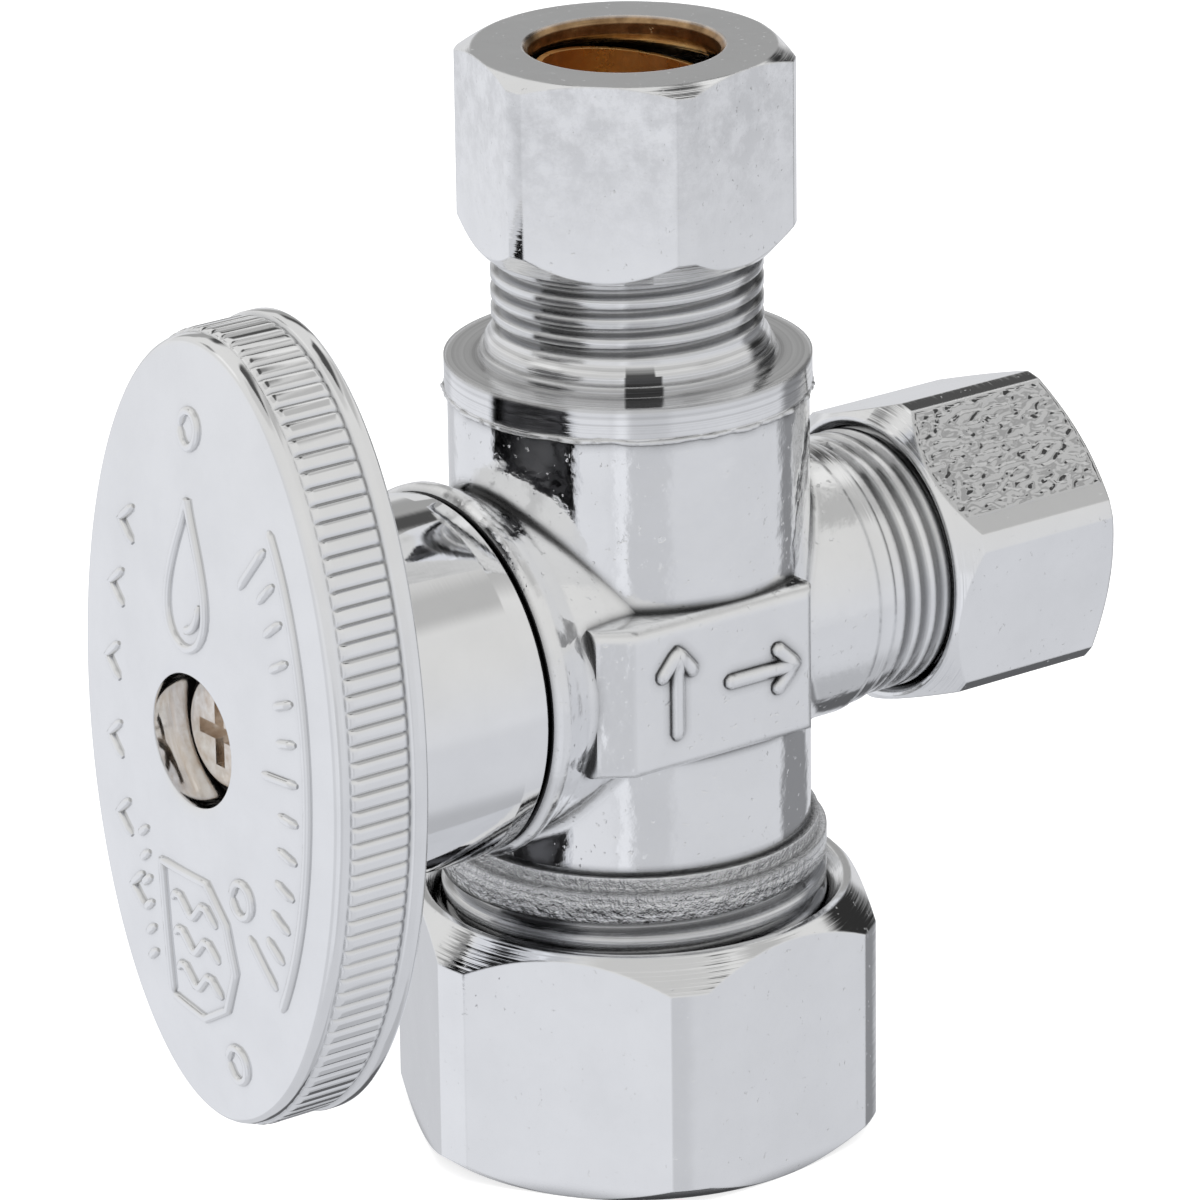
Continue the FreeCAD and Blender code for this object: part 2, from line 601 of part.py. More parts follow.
def make_bonnet():
    body = new_body("bonnet")
    seam = "-branch_length - stack_gap"
    around(body, "Revolution", "Turned", STEM_AXIS, [
        ("-washer_pocket_floor", "stem_radius + running_gap"),
        ("-washer_pocket_floor", "washer_pocket"),
        ("-spigot_end", "washer_pocket"),
        ("-spigot_end", "spigot_radius"),
        ("-bonnet_groove_start", "spigot_radius"),
        ("-bonnet_groove_start", "bonnet_groove_floor"),
        (seam, "bonnet_groove_floor"),
        (seam, "bonnet_radius - bonnet_rear_round"),
        (f"{seam} - bonnet_rear_length / 4", "bonnet_radius - bonnet_rear_round / 4"),
        (f"{seam} - bonnet_rear_length", "bonnet_radius"),
        ("-bonnet_front + bonnet_edge", "bonnet_radius"),
        ("-bonnet_front", "bonnet_radius - bonnet_edge"),
        ("-bonnet_front", "front_pocket_radius"),
        ("-front_pocket_floor", "front_pocket_radius"),
        ("-front_pocket_floor", "stem_radius + running_gap"),
    ])
    swing = TAB_HALF_ANGLE + LUG_HALF_ANGLE + STOP_SLACK_ANGLE
    for name, angle in (("OpenStop", STOP_ANGLE - swing),
                        ("ClosedStop", STOP_ANGLE + QUARTER_TURN + swing)):
        straight(body, "Pad", name, stop_sector(angle, LUG_HALF_ANGLE), "YZ_Plane",
                 "stop_height + overlap", offset="-bonnet_front + overlap", reverse=True)
    place(body, z="flow_height")


def stop_sector(angle, half_angle):
    """Corners of a turn stop: a block between two radii, seen along the stem's axis."""
    corners = []
    for radius, side in (("stop_inner", -1), ("stop_outer", -1), ("stop_outer", 1), ("stop_inner", 1)):
        turn = angle + side * half_angle
        corners.append((f"{radius} * cos({turn}deg)", f"{radius} * sin({turn}deg)"))
    return corners


def make_ring(label, name, distance, radius, section):
    """An O-ring around the stem's axis."""
    ring = part("Torus", name, Radius1=radius, Radius2=section)
    place(finish(ring, label), x=f"-({distance})", z="flow_height", turn=Rotation(Vector(0, 1, 0), 90))


def make_thrust_washer():
    body = new_body("stem_thrust_washer")
    around(body, "Revolution", "Washer", STEM_AXIS, [
        ("-washer_back", "stem_radius + 2 * running_gap"),
        ("-washer_back", "flange_radius"),
        ("-washer_front", "flange_radius"),
        ("-washer_front", "stem_radius + 2 * running_gap"),
    ])
    place(body, z="flow_height")


# ---- handle and its screw -------------------------------------------------------------

def oval(name, half_height, half_width, distance):
    """An ellipse across the stem's axis, long way up."""
    ellipse = part("Ellipse", name, MajorRadius=half_height, MinorRadius=half_width)
    return place(ellipse, x=f"-({distance})", turn=TO_HANDLE)


def oval_slab(name, half_height, half_width, rear, front):
    slab = doc.addObject("Part::Extrusion", name)
    slab.Base = oval(f"{name}Oval", half_height, half_width, rear)
    slab.DirMode = "Custom"
    slab.Dir = Vector(-1, 0, 0)
    slab.Solid = True
    return bind(slab, LengthFwd=f"({front}) - ({rear})")


def even_steps(half_width, half_height, count):
    """Angles that step evenly along the edge of an ellipse."""
    fine = 40 * count
    angles = [2 * math.pi * i / fine for i in range(fine + 1)]
    lengths = [0.0]
    for a in angles[:-1]:
        middle = a + math.pi / fine
        step = math.hypot(half_width * math.sin(middle), half_height * math.cos(middle))
        lengths.append(lengths[-1] + step)
    steps = []
    index = 0
    for i in range(count):
        target = lengths[-1] * i / count
        while lengths[index + 1] < target:
            index += 1
        share = (target - lengths[index]) / (lengths[index + 1] - lengths[index])
        steps.append(angles[index] + share * 2 * math.pi / fine)
    return steps


def make_grip():
    """The ribbed band: flat-topped ribs that stand on the handle's oval side wall."""
    wall = (size("side_half_width"), size("side_half_height"))
    crest = tuple(half + size("rib_height") for half in wall)
    stations = even_steps(*wall, 4 * GRIP_RIBS)
    points = []
    for i, angle in enumerate(stations):
        halves = crest if i % 4 in (1, 2) else wall
        points.append(Vector(0, halves[0] * math.cos(angle), halves[1] * math.sin(angle)))
    face = Part.Face(Part.makePolygon(points + points[:1]))
    depth = size("grip_front - grip_rear")
    grip = doc.addObject("Part::Feature", "Grip")
    grip.Shape = face.extrude(Vector(-depth, 0, 0))
    return place(grip, x="-grip_rear")


def make_handle():
    wall = ("side_half_height", "side_half_width")
    rear = oval_slab("SideWall", *wall, "handle_rear", "grip_front")
    bevel = doc.addObject("Part::Loft", "Bevel")
    bevel.Sections = [
        oval("BevelRear", "side_half_height + rib_height", "side_half_width + rib_height", "grip_front"),
        oval("BevelFront", "face_half_height", "face_half_width", "face_edge"),
    ]
    bevel.Solid = True
    bevel.Ruled = True
    rise = "(face_crown - face_edge) / dome_depth"
    spread = f"sqrt(1 - (1 - {rise})^2)"
    dome = part("Ellipsoid", "Dome", Radius1="dome_depth", Radius2=f"face_half_height / {spread}",
                Radius3=f"face_half_width / {spread}")
    place(dome, x="-face_crown + dome_depth", turn=TO_HANDLE)
    dome.Angle1 = -90
    dome.Angle2 = 90
    front = part("Box", "FrontHalf", Length="cutter_length", Width="4 * face_half_height",
                 Height="4 * face_half_height")
    place(front, x="-face_edge - cutter_length", y="-2 * face_half_height", z="-2 * face_half_height")
    cap = doc.addObject("Part::Common", "Cap")
    cap.Base = dome
    cap.Tool = front
    hollow = oval_slab("Hollow", "cavity_half_height", "cavity_half_width",
                       "handle_rear - overshoot", "cavity_front")
    shell = cut("Shell", joined("HandleBlank", [rear, make_grip(), bevel, cap]), hollow)
    hub = part("Cylinder", "Hub", Radius="handle_hub_radius",
               Height="cavity_front - handle_hub_end + overlap")
    place(hub, x="-handle_hub_end", turn=TO_HANDLE)
    solid = joined("HandleWithHub", [shell, hub, make_tab()])
    recess = part("Cylinder", "Recess", Radius="recess_radius", Height="cutter_length")
    place(recess, x="-recess_floor", turn=TO_HANDLE)
    hole = part("Cylinder", "ScrewHole", Radius="screw_clearance", Height="cutter_length")
    place(hole, x="-handle_hub_end", turn=TO_HANDLE)
    width = "(stem_square + 2 * running_gap)"
    socket = part("Box", "Socket", Length="socket_floor - handle_hub_end + overshoot", Width=width,
                  Height=width)
    place(socket, x="-socket_floor", y=f"-{width} / 2", z=f"-{width} / 2")
    handle = cut("Handle", solid, joined("HandleOpenings", [recess, hole, socket]))
    place(finish(handle, "handle"), z="flow_height")


def make_tab():
    """The block inside the handle that meets the bonnet's stop lugs."""
    corners = [Vector(0, size(a), size(b)) for a, b in stop_sector(STOP_ANGLE, TAB_HALF_ANGLE)]
    depth = size("cavity_front + overlap - bonnet_front - tab_clearance")
    tab = doc.addObject("Part::Feature", "Tab")
    tab.Shape = Part.Face(Part.makePolygon(corners + corners[:1])).extrude(Vector(-depth, 0, 0))
    return place(tab, x="-bonnet_front - tab_clearance")


def make_screw():
    body = new_body("handle_screw")
    under = "-recess_floor - lock_thick - 2 * stack_gap"
    around(body, "Revolution", "Turned", STEM_AXIS, [
        (f"{under} + screw_length", "0"),
        (f"{under} + screw_length", "screw_radius - shank_lead"),
        (f"{under} + screw_length - shank_lead", "screw_radius"),
        (under, "screw_radius"),
        (under, "head_radius"),
        (f"{under} - head_height", "head_radius"),
        (f"{under} - head_height", "0"),
    ])
    top = size(f"{under} - head_height")
    rounded(body, "HeadRound", "head_round",
            lambda edge: all(abs(v.Point.x - top) < 1e-4 for v in edge.Vertexes) and edge.Length > 1)
    for name, halves in (("CrossUp", ("cross_half_width", "cross_reach")),
                         ("CrossAcross", ("cross_reach", "cross_half_width"))):
        straight(body, "Pocket", name, rectangle(*halves), "YZ_Plane", "cross_depth",
                 offset=f"{under} - head_height", reverse=True)
    place(body, z="flow_height")


def make_lock_washer():
    body = new_body("screw_lock_washer")
    near = "-recess_floor - stack_gap"
    around(body, "Revolution", "Washer", STEM_AXIS, [
        (near, "lock_inner"),
        (near, "lock_outer"),
        (f"{near} - lock_thick", "lock_outer"),
        (f"{near} - lock_thick", "lock_inner"),
    ])
    place(body, z="flow_height")


# ---- compression nuts and sleeves --------------------------------------------------------

def make_nut(label, kind, turn, ridge_start):
    """A hexagon nut: its thread ridge runs in the male thread's groove."""
    body = new_body(label)
    nut = f"{kind}_nut_"
    corner = f"{nut}flats / 2 / cos(30deg)"
    straight(body, "Pad", "Hexagon", [
        (f"{corner} * cos({60 * i}deg + {turn} * 1deg)", f"{corner} * sin({60 * i}deg + {turn} * 1deg)")
        for i in range(6)
    ], "XY_Plane", f"{nut}length")
    around(body, "Groove", "Corners", FLOW_AXIS, [
        (f"{nut}lead_radius", "-overshoot"),
        (f"{nut}lead_radius", "0"),
        (f"{nut}corner", f"{nut}lead"),
        (f"{nut}corner", f"{nut}length - {nut}crown"),
        (f"{nut}crown_radius", f"{nut}length"),
        (f"{nut}crown_radius", f"{nut}length + overshoot"),
        (f"{nut}corner + 2 * overshoot", f"{nut}length + overshoot"),
        (f"{nut}corner + 2 * overshoot", "-overshoot"),
    ])
    bore = f"({kind}_thread_radius + thread_gap)"
    lip = [(f"{nut}throat", f"{nut}throat_end"), (f"{nut}lip", f"{nut}length")]
    square_mouth = [(f"{nut}throat", f"{nut}length")]
    around(body, "Groove", "Bore", FLOW_AXIS, [
        ("0", "-overshoot"),
        (f"{nut}mouth", "-overshoot"),
        (f"{nut}mouth", "0"),
        (bore, f"{nut}mouth - {bore}"),
        (bore, f"{nut}thread_end"),
        (f"{nut}chamber", f"{nut}thread_end"),
        (f"{nut}chamber", f"{nut}chamber_end"),
        (f"{nut}throat", f"{nut}throat_start"),
        *(lip if kind == "outlet" else square_mouth),
        ("0", f"{nut}length"),
    ])
    half_crest = f"({kind}_groove_width / 2 - ridge_side_gap)"
    half_tip = "(groove_root_width / 2)"
    tip = f"({kind}_thread_radius - {kind}_thread_depth + ridge_tip_gap)"
    helix(body, "AdditiveHelix", "Thread", FLOW_AXIS, [
        (f"{bore} + ridge_side_gap", f"{ridge_start} - {half_crest}"),
        (f"{bore} + ridge_side_gap", f"{ridge_start} + {half_crest}"),
        (tip, f"{ridge_start} + {half_tip}"),
        (tip, f"{ridge_start} - {half_tip}"),
    ], f"{kind}_pitch", f"{nut}thread_end - ridge_runout - ({ridge_start})")
    return body


def make_nuts():
    top = make_nut("top_outlet_nut", "outlet", "top_nut_turn",
                   "(top_groove_start + 5 * outlet_pitch - top_nut_base)")
    place(top, z="flow_height + top_nut_base")
    side = make_nut("side_outlet_nut", "outlet", "side_nut_turn",
                    "(side_groove_start + 4 * outlet_pitch - side_nut_base)")
    place(side, x="side_nut_base", z="flow_height", turn=TO_SIDE)
    inlet = make_nut("inlet_nut", "inlet", "inlet_nut_turn",
                     "(inlet_nut_length - flow_height - inlet_groove_start + 2 * inlet_pitch)")
    place(inlet, z="inlet_nut_length", turn=TO_INLET)


def make_sleeve(label, kind):
    """A compression sleeve, drawn about its own middle."""
    body = new_body(label)
    sleeve = f"{kind}_sleeve_"
    half = f"{sleeve}length / 2"
    around(body, "Revolution", "Turned", FLOW_AXIS, [
        (f"{sleeve}bore", f"-{half}"),
        (f"{sleeve}end", f"-{half}"),
        (f"{sleeve}barrel", f"-{half} + {sleeve}taper"),
        (f"{sleeve}barrel", f"{half} - {sleeve}taper"),
        (f"{sleeve}end", half),
        (f"{sleeve}bore", half),
    ])
    return body


def make_sleeves():
    lean_axis = Vector(0, 0, 1).cross(LEAN_DIRECTION)
    place(make_sleeve("top_outlet_ferrule", "outlet"), z="flow_height + top_sleeve_middle",
          turn=Rotation(lean_axis, size("sleeve_lean")))
    place(make_sleeve("side_outlet_ferrule", "outlet"), x="side_sleeve_middle", z="flow_height",
          turn=TO_SIDE)
    place(make_sleeve("inlet_ferrule", "inlet"), z="inlet_sleeve_middle")


# ---- build, check and write ----------------------------------------------------------------

def make_all():
    make_valve_body()
    make_ball()
    make_seat("outlet_seat", "OutletSeat", "")
    make_seat("inlet_seat", "InletSeat", "-")
    make_retainer()
    make_stem()
    make_ring("stem_o_ring_inner", "InnerRing", "inner_groove", "stem_ring_radius", "stem_ring_section")
    make_ring("stem_o_ring_outer", "OuterRing", "outer_groove", "stem_ring_radius", "stem_ring_section")
    make_thrust_washer()
    make_bonnet()
    make_ring("bonnet_o_ring", "BonnetRing", "(bonnet_groove_start + branch_length) / 2",
              "bonnet_ring_radius", "bonnet_ring_section")
    make_handle()
    make_screw()
    make_lock_washer()
    make_nuts()
    make_sleeves()
    doc.recompute()


def check_all():
    """Stop before anything is written if an object failed or a shape is bad."""
    failed = [item.Name for item in doc.Objects if {"Invalid", "Error"} & set(item.State)]
    if failed:
        raise RuntimeError(f"failed objects: {failed}")
    for piece in pieces:
        if piece.Shape.isNull() or not piece.Shape.isValid() or not piece.Shape.Solids:
            raise RuntimeError(f"bad shape: {piece.Label}")


def write_all():
    os.makedirs("parts", exist_ok=True)
    for piece in pieces:
        piece.Shape.exportStep(f"parts/{piece.Label}.step")
        box = piece.Shape.BoundBox
        print(f"{piece.Label:22s} solids {len(piece.Shape.Solids)}  volume {piece.Shape.Volume:9.2f}"
              f"  x {box.XMin:7.2f} {box.XMax:7.2f}  z {box.ZMin:7.2f} {box.ZMax:7.2f}")


make_all()
check_all()
write_all()
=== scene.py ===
import json
import math

import bpy
import bmesh
from mathutils import Matrix, Vector, noise as field


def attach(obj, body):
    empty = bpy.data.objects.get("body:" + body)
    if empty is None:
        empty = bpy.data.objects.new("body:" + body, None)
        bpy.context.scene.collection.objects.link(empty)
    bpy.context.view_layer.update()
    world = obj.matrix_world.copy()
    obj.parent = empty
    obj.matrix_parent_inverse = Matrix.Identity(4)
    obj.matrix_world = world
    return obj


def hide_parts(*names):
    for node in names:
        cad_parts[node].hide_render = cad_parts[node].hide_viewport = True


# Looks for a chrome-plated dual-outlet angle stop valve.
#
# The CAD's frame: +Z is up the flow axis, +X points out of the side outlet and the handle is
# on -X.  Lengths are in millimetres and become metres where they reach Blender.  Directions in
# the studio are in degrees: azimuth from +X towards +Y, elevation above the floor.

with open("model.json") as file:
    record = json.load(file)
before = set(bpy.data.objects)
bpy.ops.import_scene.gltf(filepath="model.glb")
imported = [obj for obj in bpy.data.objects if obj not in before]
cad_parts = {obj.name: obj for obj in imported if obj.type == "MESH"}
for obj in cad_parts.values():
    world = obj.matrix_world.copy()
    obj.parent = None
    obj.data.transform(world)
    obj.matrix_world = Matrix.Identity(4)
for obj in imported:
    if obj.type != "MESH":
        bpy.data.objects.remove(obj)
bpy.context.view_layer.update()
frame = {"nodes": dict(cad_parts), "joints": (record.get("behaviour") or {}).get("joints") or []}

MM = 0.001
NODES = frame["nodes"]
JOINTS = {joint["name"]: joint for joint in frame["joints"]}
AXIS_Z = JOINTS["handle_turn"]["pos_m"][2] / MM      # height of the stem's axis
FLOW_AXIS = (Vector((0, 0, 0)), Vector((0, 0, 1)))
STEM_AXIS = (Vector((0, 0, AXIS_Z)), Vector((1, 0, 0)))


# ---- places on the body, where turned surfaces meet the forging -----------------------------

COLLAR_FOOT = AXIS_Z + 13.4           # underside of the machined collar
COLLAR_RADIUS = 9.5
NECK_TOP = COLLAR_FOOT + 3.2          # the steps between the collar and the thread end here
SHOULDER = AXIS_Z - 10.7              # top of the inlet's thread
SIDE_HUB_END = 10.9                   # the side outlet is turned from here on, along X
BOSS_FACE = -10.2                     # flat face of the boss, along Y
ACROSS_FLATS = 15.875                 # of the two small nuts


# ---- sizes of the handle, from the flow axis and the stem axis ----------------------------

GRIP_RIBS = 120
RIB_SAMPLES = 8                       # stations across one rib and its groove
WALL = (11.4, 21.4)                   # half width and half height of the side wall
FACE = (11.05, 20.9)                  # the same at the edge of the domed face
HOLLOW = (10.3, 20.3)                 # the same for the hollow behind the face
FACE_CROWN = -28.15                   # crown of the dome, from the flow axis
FACE_EDGE = -27.0                     # rim of the dome
GRIP_FRONT, GRIP_REAR = -26.15, -22.6      # ends of the ribs
REAR = -21.5                          # rear rim of the side wall
HOLLOW_FRONT = -25.6                  # back of the face
HUB_END = -19.0
SOCKET_FLOOR = -23.6                  # end of the stem's square
RECESS_FLOOR = -24.35                 # seat of the screw's washer
RECESS_RADIUS = 3.53
HUB_RADIUS = 5.4
HOLE_RADIUS = 1.75
SOCKET_HALF = 2.45                    # half width of the square socket
RIB_HEIGHT = 0.22
RIB_END = 0.45                        # length of the rounded end of a rib
REAR_BAND = 0.36                      # height of the plain rear band above the side wall
REAR_ROUND = 0.3                      # radius of the rear rim's edge
TAB_REAR = -22.55                     # end of the stop tab in the hollow


# ---- shader helpers ------------------------------------------------------------------

def new_material(name):
    material = bpy.data.materials.new(name)
    material.use_nodes = True
    material.node_tree.nodes.clear()
    return material, material.node_tree


def node(tree, kind, inputs=None, **settings):
    item = tree.nodes.new(kind)
    for key, value in settings.items():
        setattr(item, key, value)
    for key, value in (inputs or {}).items():
        if isinstance(value, bpy.types.NodeSocket):
            tree.links.new(value, item.inputs[key])
        else:
            item.inputs[key].default_value = value
    return item


def maths(tree, operation, a, b=0.0):
    return node(tree, "ShaderNodeMath", {0: a, 1: b}, operation=operation).outputs[0]


def product(tree, *values):
    total = values[0]
    for value in values[1:]:
        total = maths(tree, "MULTIPLY", total, value)
    return total


def vector_maths(tree, operation, a, b=(0, 0, 0)):
    b = tuple(b) if isinstance(b, Vector) else b
    return node(tree, "ShaderNodeVectorMath", {0: a, 1: b}, operation=operation)


def dot(tree, vector, direction):
    return vector_maths(tree, "DOT_PRODUCT", vector, direction).outputs["Value"]


def remap(tree, value, low, high, to_low=0.0, to_high=1.0, smooth=False):
    """to_low where value is low and to_high where it is high, held beyond them."""
    inputs = {
        "Value": value, "From Min": low, "From Max": high, "To Min": to_low, "To Max": to_high,
    }
    kind = "SMOOTHSTEP" if smooth else "LINEAR"
    return node(tree, "ShaderNodeMapRange", inputs, interpolation_type=kind).outputs["Result"]


def mix_numbers(tree, share, a, b):
    """a where share is 0, b where it is 1."""
    return node(tree, "ShaderNodeMix", {0: share, 2: a, 3: b}, data_type="FLOAT").outputs[0]


def mix_colors(tree, share, a, b):
    """The same for colours, each a socket or three numbers."""
    a, b = ((*c, 1) if isinstance(c, tuple) else c for c in (a, b))
    return node(tree, "ShaderNodeMix", {0: share, 6: a, 7: b}, data_type="RGBA").outputs[2]


def level_part(tree, direction):
    """The level direction under a direction, at length 1."""
    level = vector_maths(tree, "MULTIPLY", direction, (1, 1, 0)).outputs[0]
    return vector_maths(tree, "NORMALIZE", level).outputs[0]


def mm_point(tree):
    """Object coordinates in millimetres, so that texture scales read as features per mm."""
    where = node(tree, "ShaderNodeTexCoord").outputs["Object"]
    scale = node(tree, "ShaderNodeVectorMath", {0: where, "Scale": 1 / MM}, operation="SCALE")
    return scale.outputs["Vector"]


def noise(tree, point, scale, detail=3.0, roughness=0.5):
    inputs = {"Vector": point, "Scale": scale, "Detail": detail, "Roughness": roughness}
    return node(tree, "ShaderNodeTexNoise", inputs).outputs["Fac"]


def about_axis(tree, point, axis):
    """Distance of the point from an axis, and its place along it."""
    origin, direction = axis
    offset = vector_maths(tree, "SUBTRACT", point, origin).outputs[0]
    arm = vector_maths(tree, "CROSS_PRODUCT", offset, direction).outputs[0]
    return vector_maths(tree, "LENGTH", arm).outputs["Value"], dot(tree, offset, direction)


def lathe_lines(tree, point, axis, per_mm):
    """Fine rings that run round an axis, as a turning tool leaves them."""
    radius, along = about_axis(tree, point, axis)
    ring = node(tree, "ShaderNodeCombineXYZ", {"X": radius, "Y": along}).outputs[0]
    return noise(tree, ring, per_mm, 3.0, 0.6)


def bump(tree, height, distance, normal):
    """The normal tilted by a height of 0 to 1, which stands for a distance in millimetres."""
    inputs = {"Height": height, "Distance": distance * MM, "Strength": 1.0, "Normal": normal}
    return node(tree, "ShaderNodeBump", inputs).outputs[0]


def soft_edges(tree, radius):
    """A normal that rounds every edge over a radius in millimetres."""
    return node(tree, "ShaderNodeBevel", {"Radius": radius * MM}, samples=4).outputs[0]


def painted_crevice_shade(tree, reach, darkest, closed=0.25, open_sky=0.92):
    """Painted shade: 1 in the open and down to darkest in creases and thread roots, where shade
    falls.

    closed and open_sky are the shares of open sky at which those two are reached."""
    inputs = {"Distance": reach * MM}
    sky = node(tree, "ShaderNodeAmbientOcclusion", inputs, samples=8).outputs["AO"]
    return remap(tree, sky, closed, open_sky, darkest, 1.0)


def darkened(tree, color, share):
    """The colour times a number."""
    scaled = node(tree, "ShaderNodeVectorMath", {0: color, "Scale": share}, operation="SCALE")
    return scaled.outputs["Vector"]


def metal(tree, color, roughness, normal):
    inputs = {"Base Color": color, "Metallic": 1.0, "Roughness": roughness, "Normal": normal}
    surface = node(tree, "ShaderNodeBsdfPrincipled", inputs)
    node(tree, "ShaderNodeOutputMaterial", {"Surface": surface.outputs[0]})


# ---- materials ------------------------------------------------------------------------

CHROME = (0.93, 0.935, 0.945)
CHROME_CLOUD = (0.89, 0.895, 0.905)
BARE_BRASS = (0.55, 0.36, 0.19)
BARE_BRASS_DARK = (0.30, 0.18, 0.09)
# dull plate whose near-black colour is painted shade for the handle's hollow
DULL_PLATE_AND_SHADE = (0.16, 0.16, 0.165)      # in the hollow of the handle


def chrome_base(tree, point, polish):
    """Colour and roughness of the plate, both slightly clouded."""
    cloud = noise(tree, point, 0.25, 4.0, 0.6)
    color = mix_colors(tree, remap(tree, cloud, 0.35, 0.7), CHROME, CHROME_CLOUD)
    return color, remap(tree, cloud, 0.3, 0.75, polish * 0.7, polish * 1.6)


def chrome_plain(name, polish, wave, edge, tone=1.0):
    """Polished plate over a moulded shape, with painted shade in its creases; tone dims it."""
    material, tree = new_material(name)
    point = mm_point(tree)
    color, roughness = chrome_base(tree, point, polish)
    normal = bump(tree, noise(tree, point, 0.5, 2.0), wave, soft_edges(tree, edge))
    # painted shade in the creases, times the tone
    painted_shade_and_tone = product(tree, painted_crevice_shade(tree, 0.6, 0.45), tone)
    metal(tree, darkened(tree, color, painted_shade_and_tone), roughness, normal)
    return material


def chrome_handle(name):
    """Polished plate outside, thin dull plate in the hollow behind the face, painted dark there as
    shade.
    """
    material, tree = new_material(name)
    point = mm_point(tree)
    color, roughness = chrome_base(tree, point, 0.06)
    parts = node(tree, "ShaderNodeSeparateXYZ", {"Vector": point}).outputs
    across = maths(tree, "DIVIDE", parts["Y"], HOLLOW[0] + 0.1)
    up = maths(tree, "DIVIDE", maths(tree, "SUBTRACT", parts["Z"], AXIS_Z), HOLLOW[1] + 0.1)
    spread = maths(tree, "ADD", product(tree, across, across), product(tree, up, up))
    behind = remap(tree, parts["X"], HOLLOW_FRONT - 0.1, HOLLOW_FRONT)
    inside = product(tree, remap(tree, spread, 1.0, 0.99), behind)
    # painted shade in the creases and the recess
    color = darkened(tree, color, painted_crevice_shade(tree, 0.5, 0.5))
    # the hollow: dull plate, its colour painted dark as shade
    color = mix_colors(tree, inside, color, DULL_PLATE_AND_SHADE)
    normal = bump(tree, noise(tree, point, 0.5, 2.0), 0.02, soft_edges(tree, 0.08))
    metal(tree, color, mix_numbers(tree, inside, roughness, 0.35), normal)
    return material


def chrome_turned(name, axis):
    """Plate over a turned surface, with faint tool rings."""
    material, tree = new_material(name)
    point = mm_point(tree)
    color, roughness = chrome_base(tree, point, 0.03)
    normal = bump(tree, lathe_lines(tree, point, axis, 5.0), 0.0015, soft_edges(tree, 0.12))
    # painted shade in the creases and grooves
    metal(tree, darkened(tree, color, painted_crevice_shade(tree, 0.8, 0.2)), roughness, normal)
    return material


def camera_stand(tree):
    """1 where the surface mirrors the dark camera stand, which only the neck shows clearly."""
    mirrored = node(tree, "ShaderNodeTexCoord").outputs["Reflection"]
    stand_azimuth, outside, inside = (math.radians(angle) for angle in (-114.5, 16, 14))
    way = (math.cos(stand_azimuth), math.sin(stand_azimuth), 0)
    toward = dot(tree, level_part(tree, mirrored), way)
    return remap(tree, toward, math.cos(outside), math.cos(inside))


def chrome_forged(name):
    """Body: lightly pitted forging, with turned necks, collar and threads."""
    material, tree = new_material(name)
    point = mm_point(tree)
    color, roughness = chrome_base(tree, point, 0.06)
    radius, z = about_axis(tree, point, FLOW_AXIS)
    x = about_axis(tree, point, STEM_AXIS)[1]
    step = 0.1                            # over which the forging gives way to turning
    turned_z = maths(tree, "ADD", remap(tree, z, COLLAR_FOOT, COLLAR_FOOT + step),
                     remap(tree, z, SHOULDER, SHOULDER - step))
    turned_x = remap(tree, x, SIDE_HUB_END, SIDE_HUB_END + step)
    forged = maths(tree, "SUBTRACT", maths(tree, "SUBTRACT", 1.0, turned_z), turned_x)
    swell = noise(tree, point, 0.42, 2.5, 0.55)
    ripple = noise(tree, point, 1.3, 3.0, 0.6)
    pits = remap(tree, noise(tree, point, 2.2, 3.0, 0.6), 0.26, 0.36, smooth=True)
    rings_z = lathe_lines(tree, point, FLOW_AXIS, 4.0)
    rings_x = lathe_lines(tree, point, STEM_AXIS, 4.0)
    normal = soft_edges(tree, 0.4)
    normal = bump(tree, product(tree, swell, forged), 0.07, normal)
    normal = bump(tree, product(tree, ripple, forged), 0.012, normal)
    normal = bump(tree, product(tree, pits, forged), 0.02, normal)
    normal = bump(tree, product(tree, rings_z, turned_z), 0.025, normal)
    normal = bump(tree, product(tree, rings_x, turned_x), 0.02, normal)
    flaky = product(tree, remap(tree, z, SHOULDER - 2.6, SHOULDER - 1.6),
                    remap(tree, z, SHOULDER + 0.2, SHOULDER - 0.1))
    flakes = noise(tree, point, 1.6, 4.0, 0.7)
    normal = bump(tree, product(tree, flakes, flaky), 0.6, normal)
    # darker in bands along the tool rings of the turned surfaces
    ring_banding = mix_numbers(tree, turned_z, 1.0, remap(tree, rings_z, 0.35, 0.6, 0.7, 1.0))
    # painted shade in the forging's concave creases, such as where the hub meets the barrel
    crease_shade = mix_numbers(tree, forged, 1.0, painted_crevice_shade(tree, 0.6, 0.15, 0.66, 0.94))
    neck = product(tree, turned_z, remap(tree, radius, COLLAR_RADIUS - 0.5, COLLAR_RADIUS - 0.6),
                   remap(tree, z, NECK_TOP, NECK_TOP - 0.4))
    # painted reflection: the neck's colour darkens where it would mirror the dark camera stand
    painted_stand_reflection = mix_numbers(tree, product(tree, neck, camera_stand(tree)), 1.0, 0.12)
    # painted shade in the creases and thread roots, times the ring banding, crease shade and the
    # stand's painted reflection
    color = darkened(tree, color, product(tree, painted_crevice_shade(tree, 0.9, 0.35), ring_banding, crease_shade, painted_stand_reflection))
    metal(tree, color, roughness, normal)
    return material


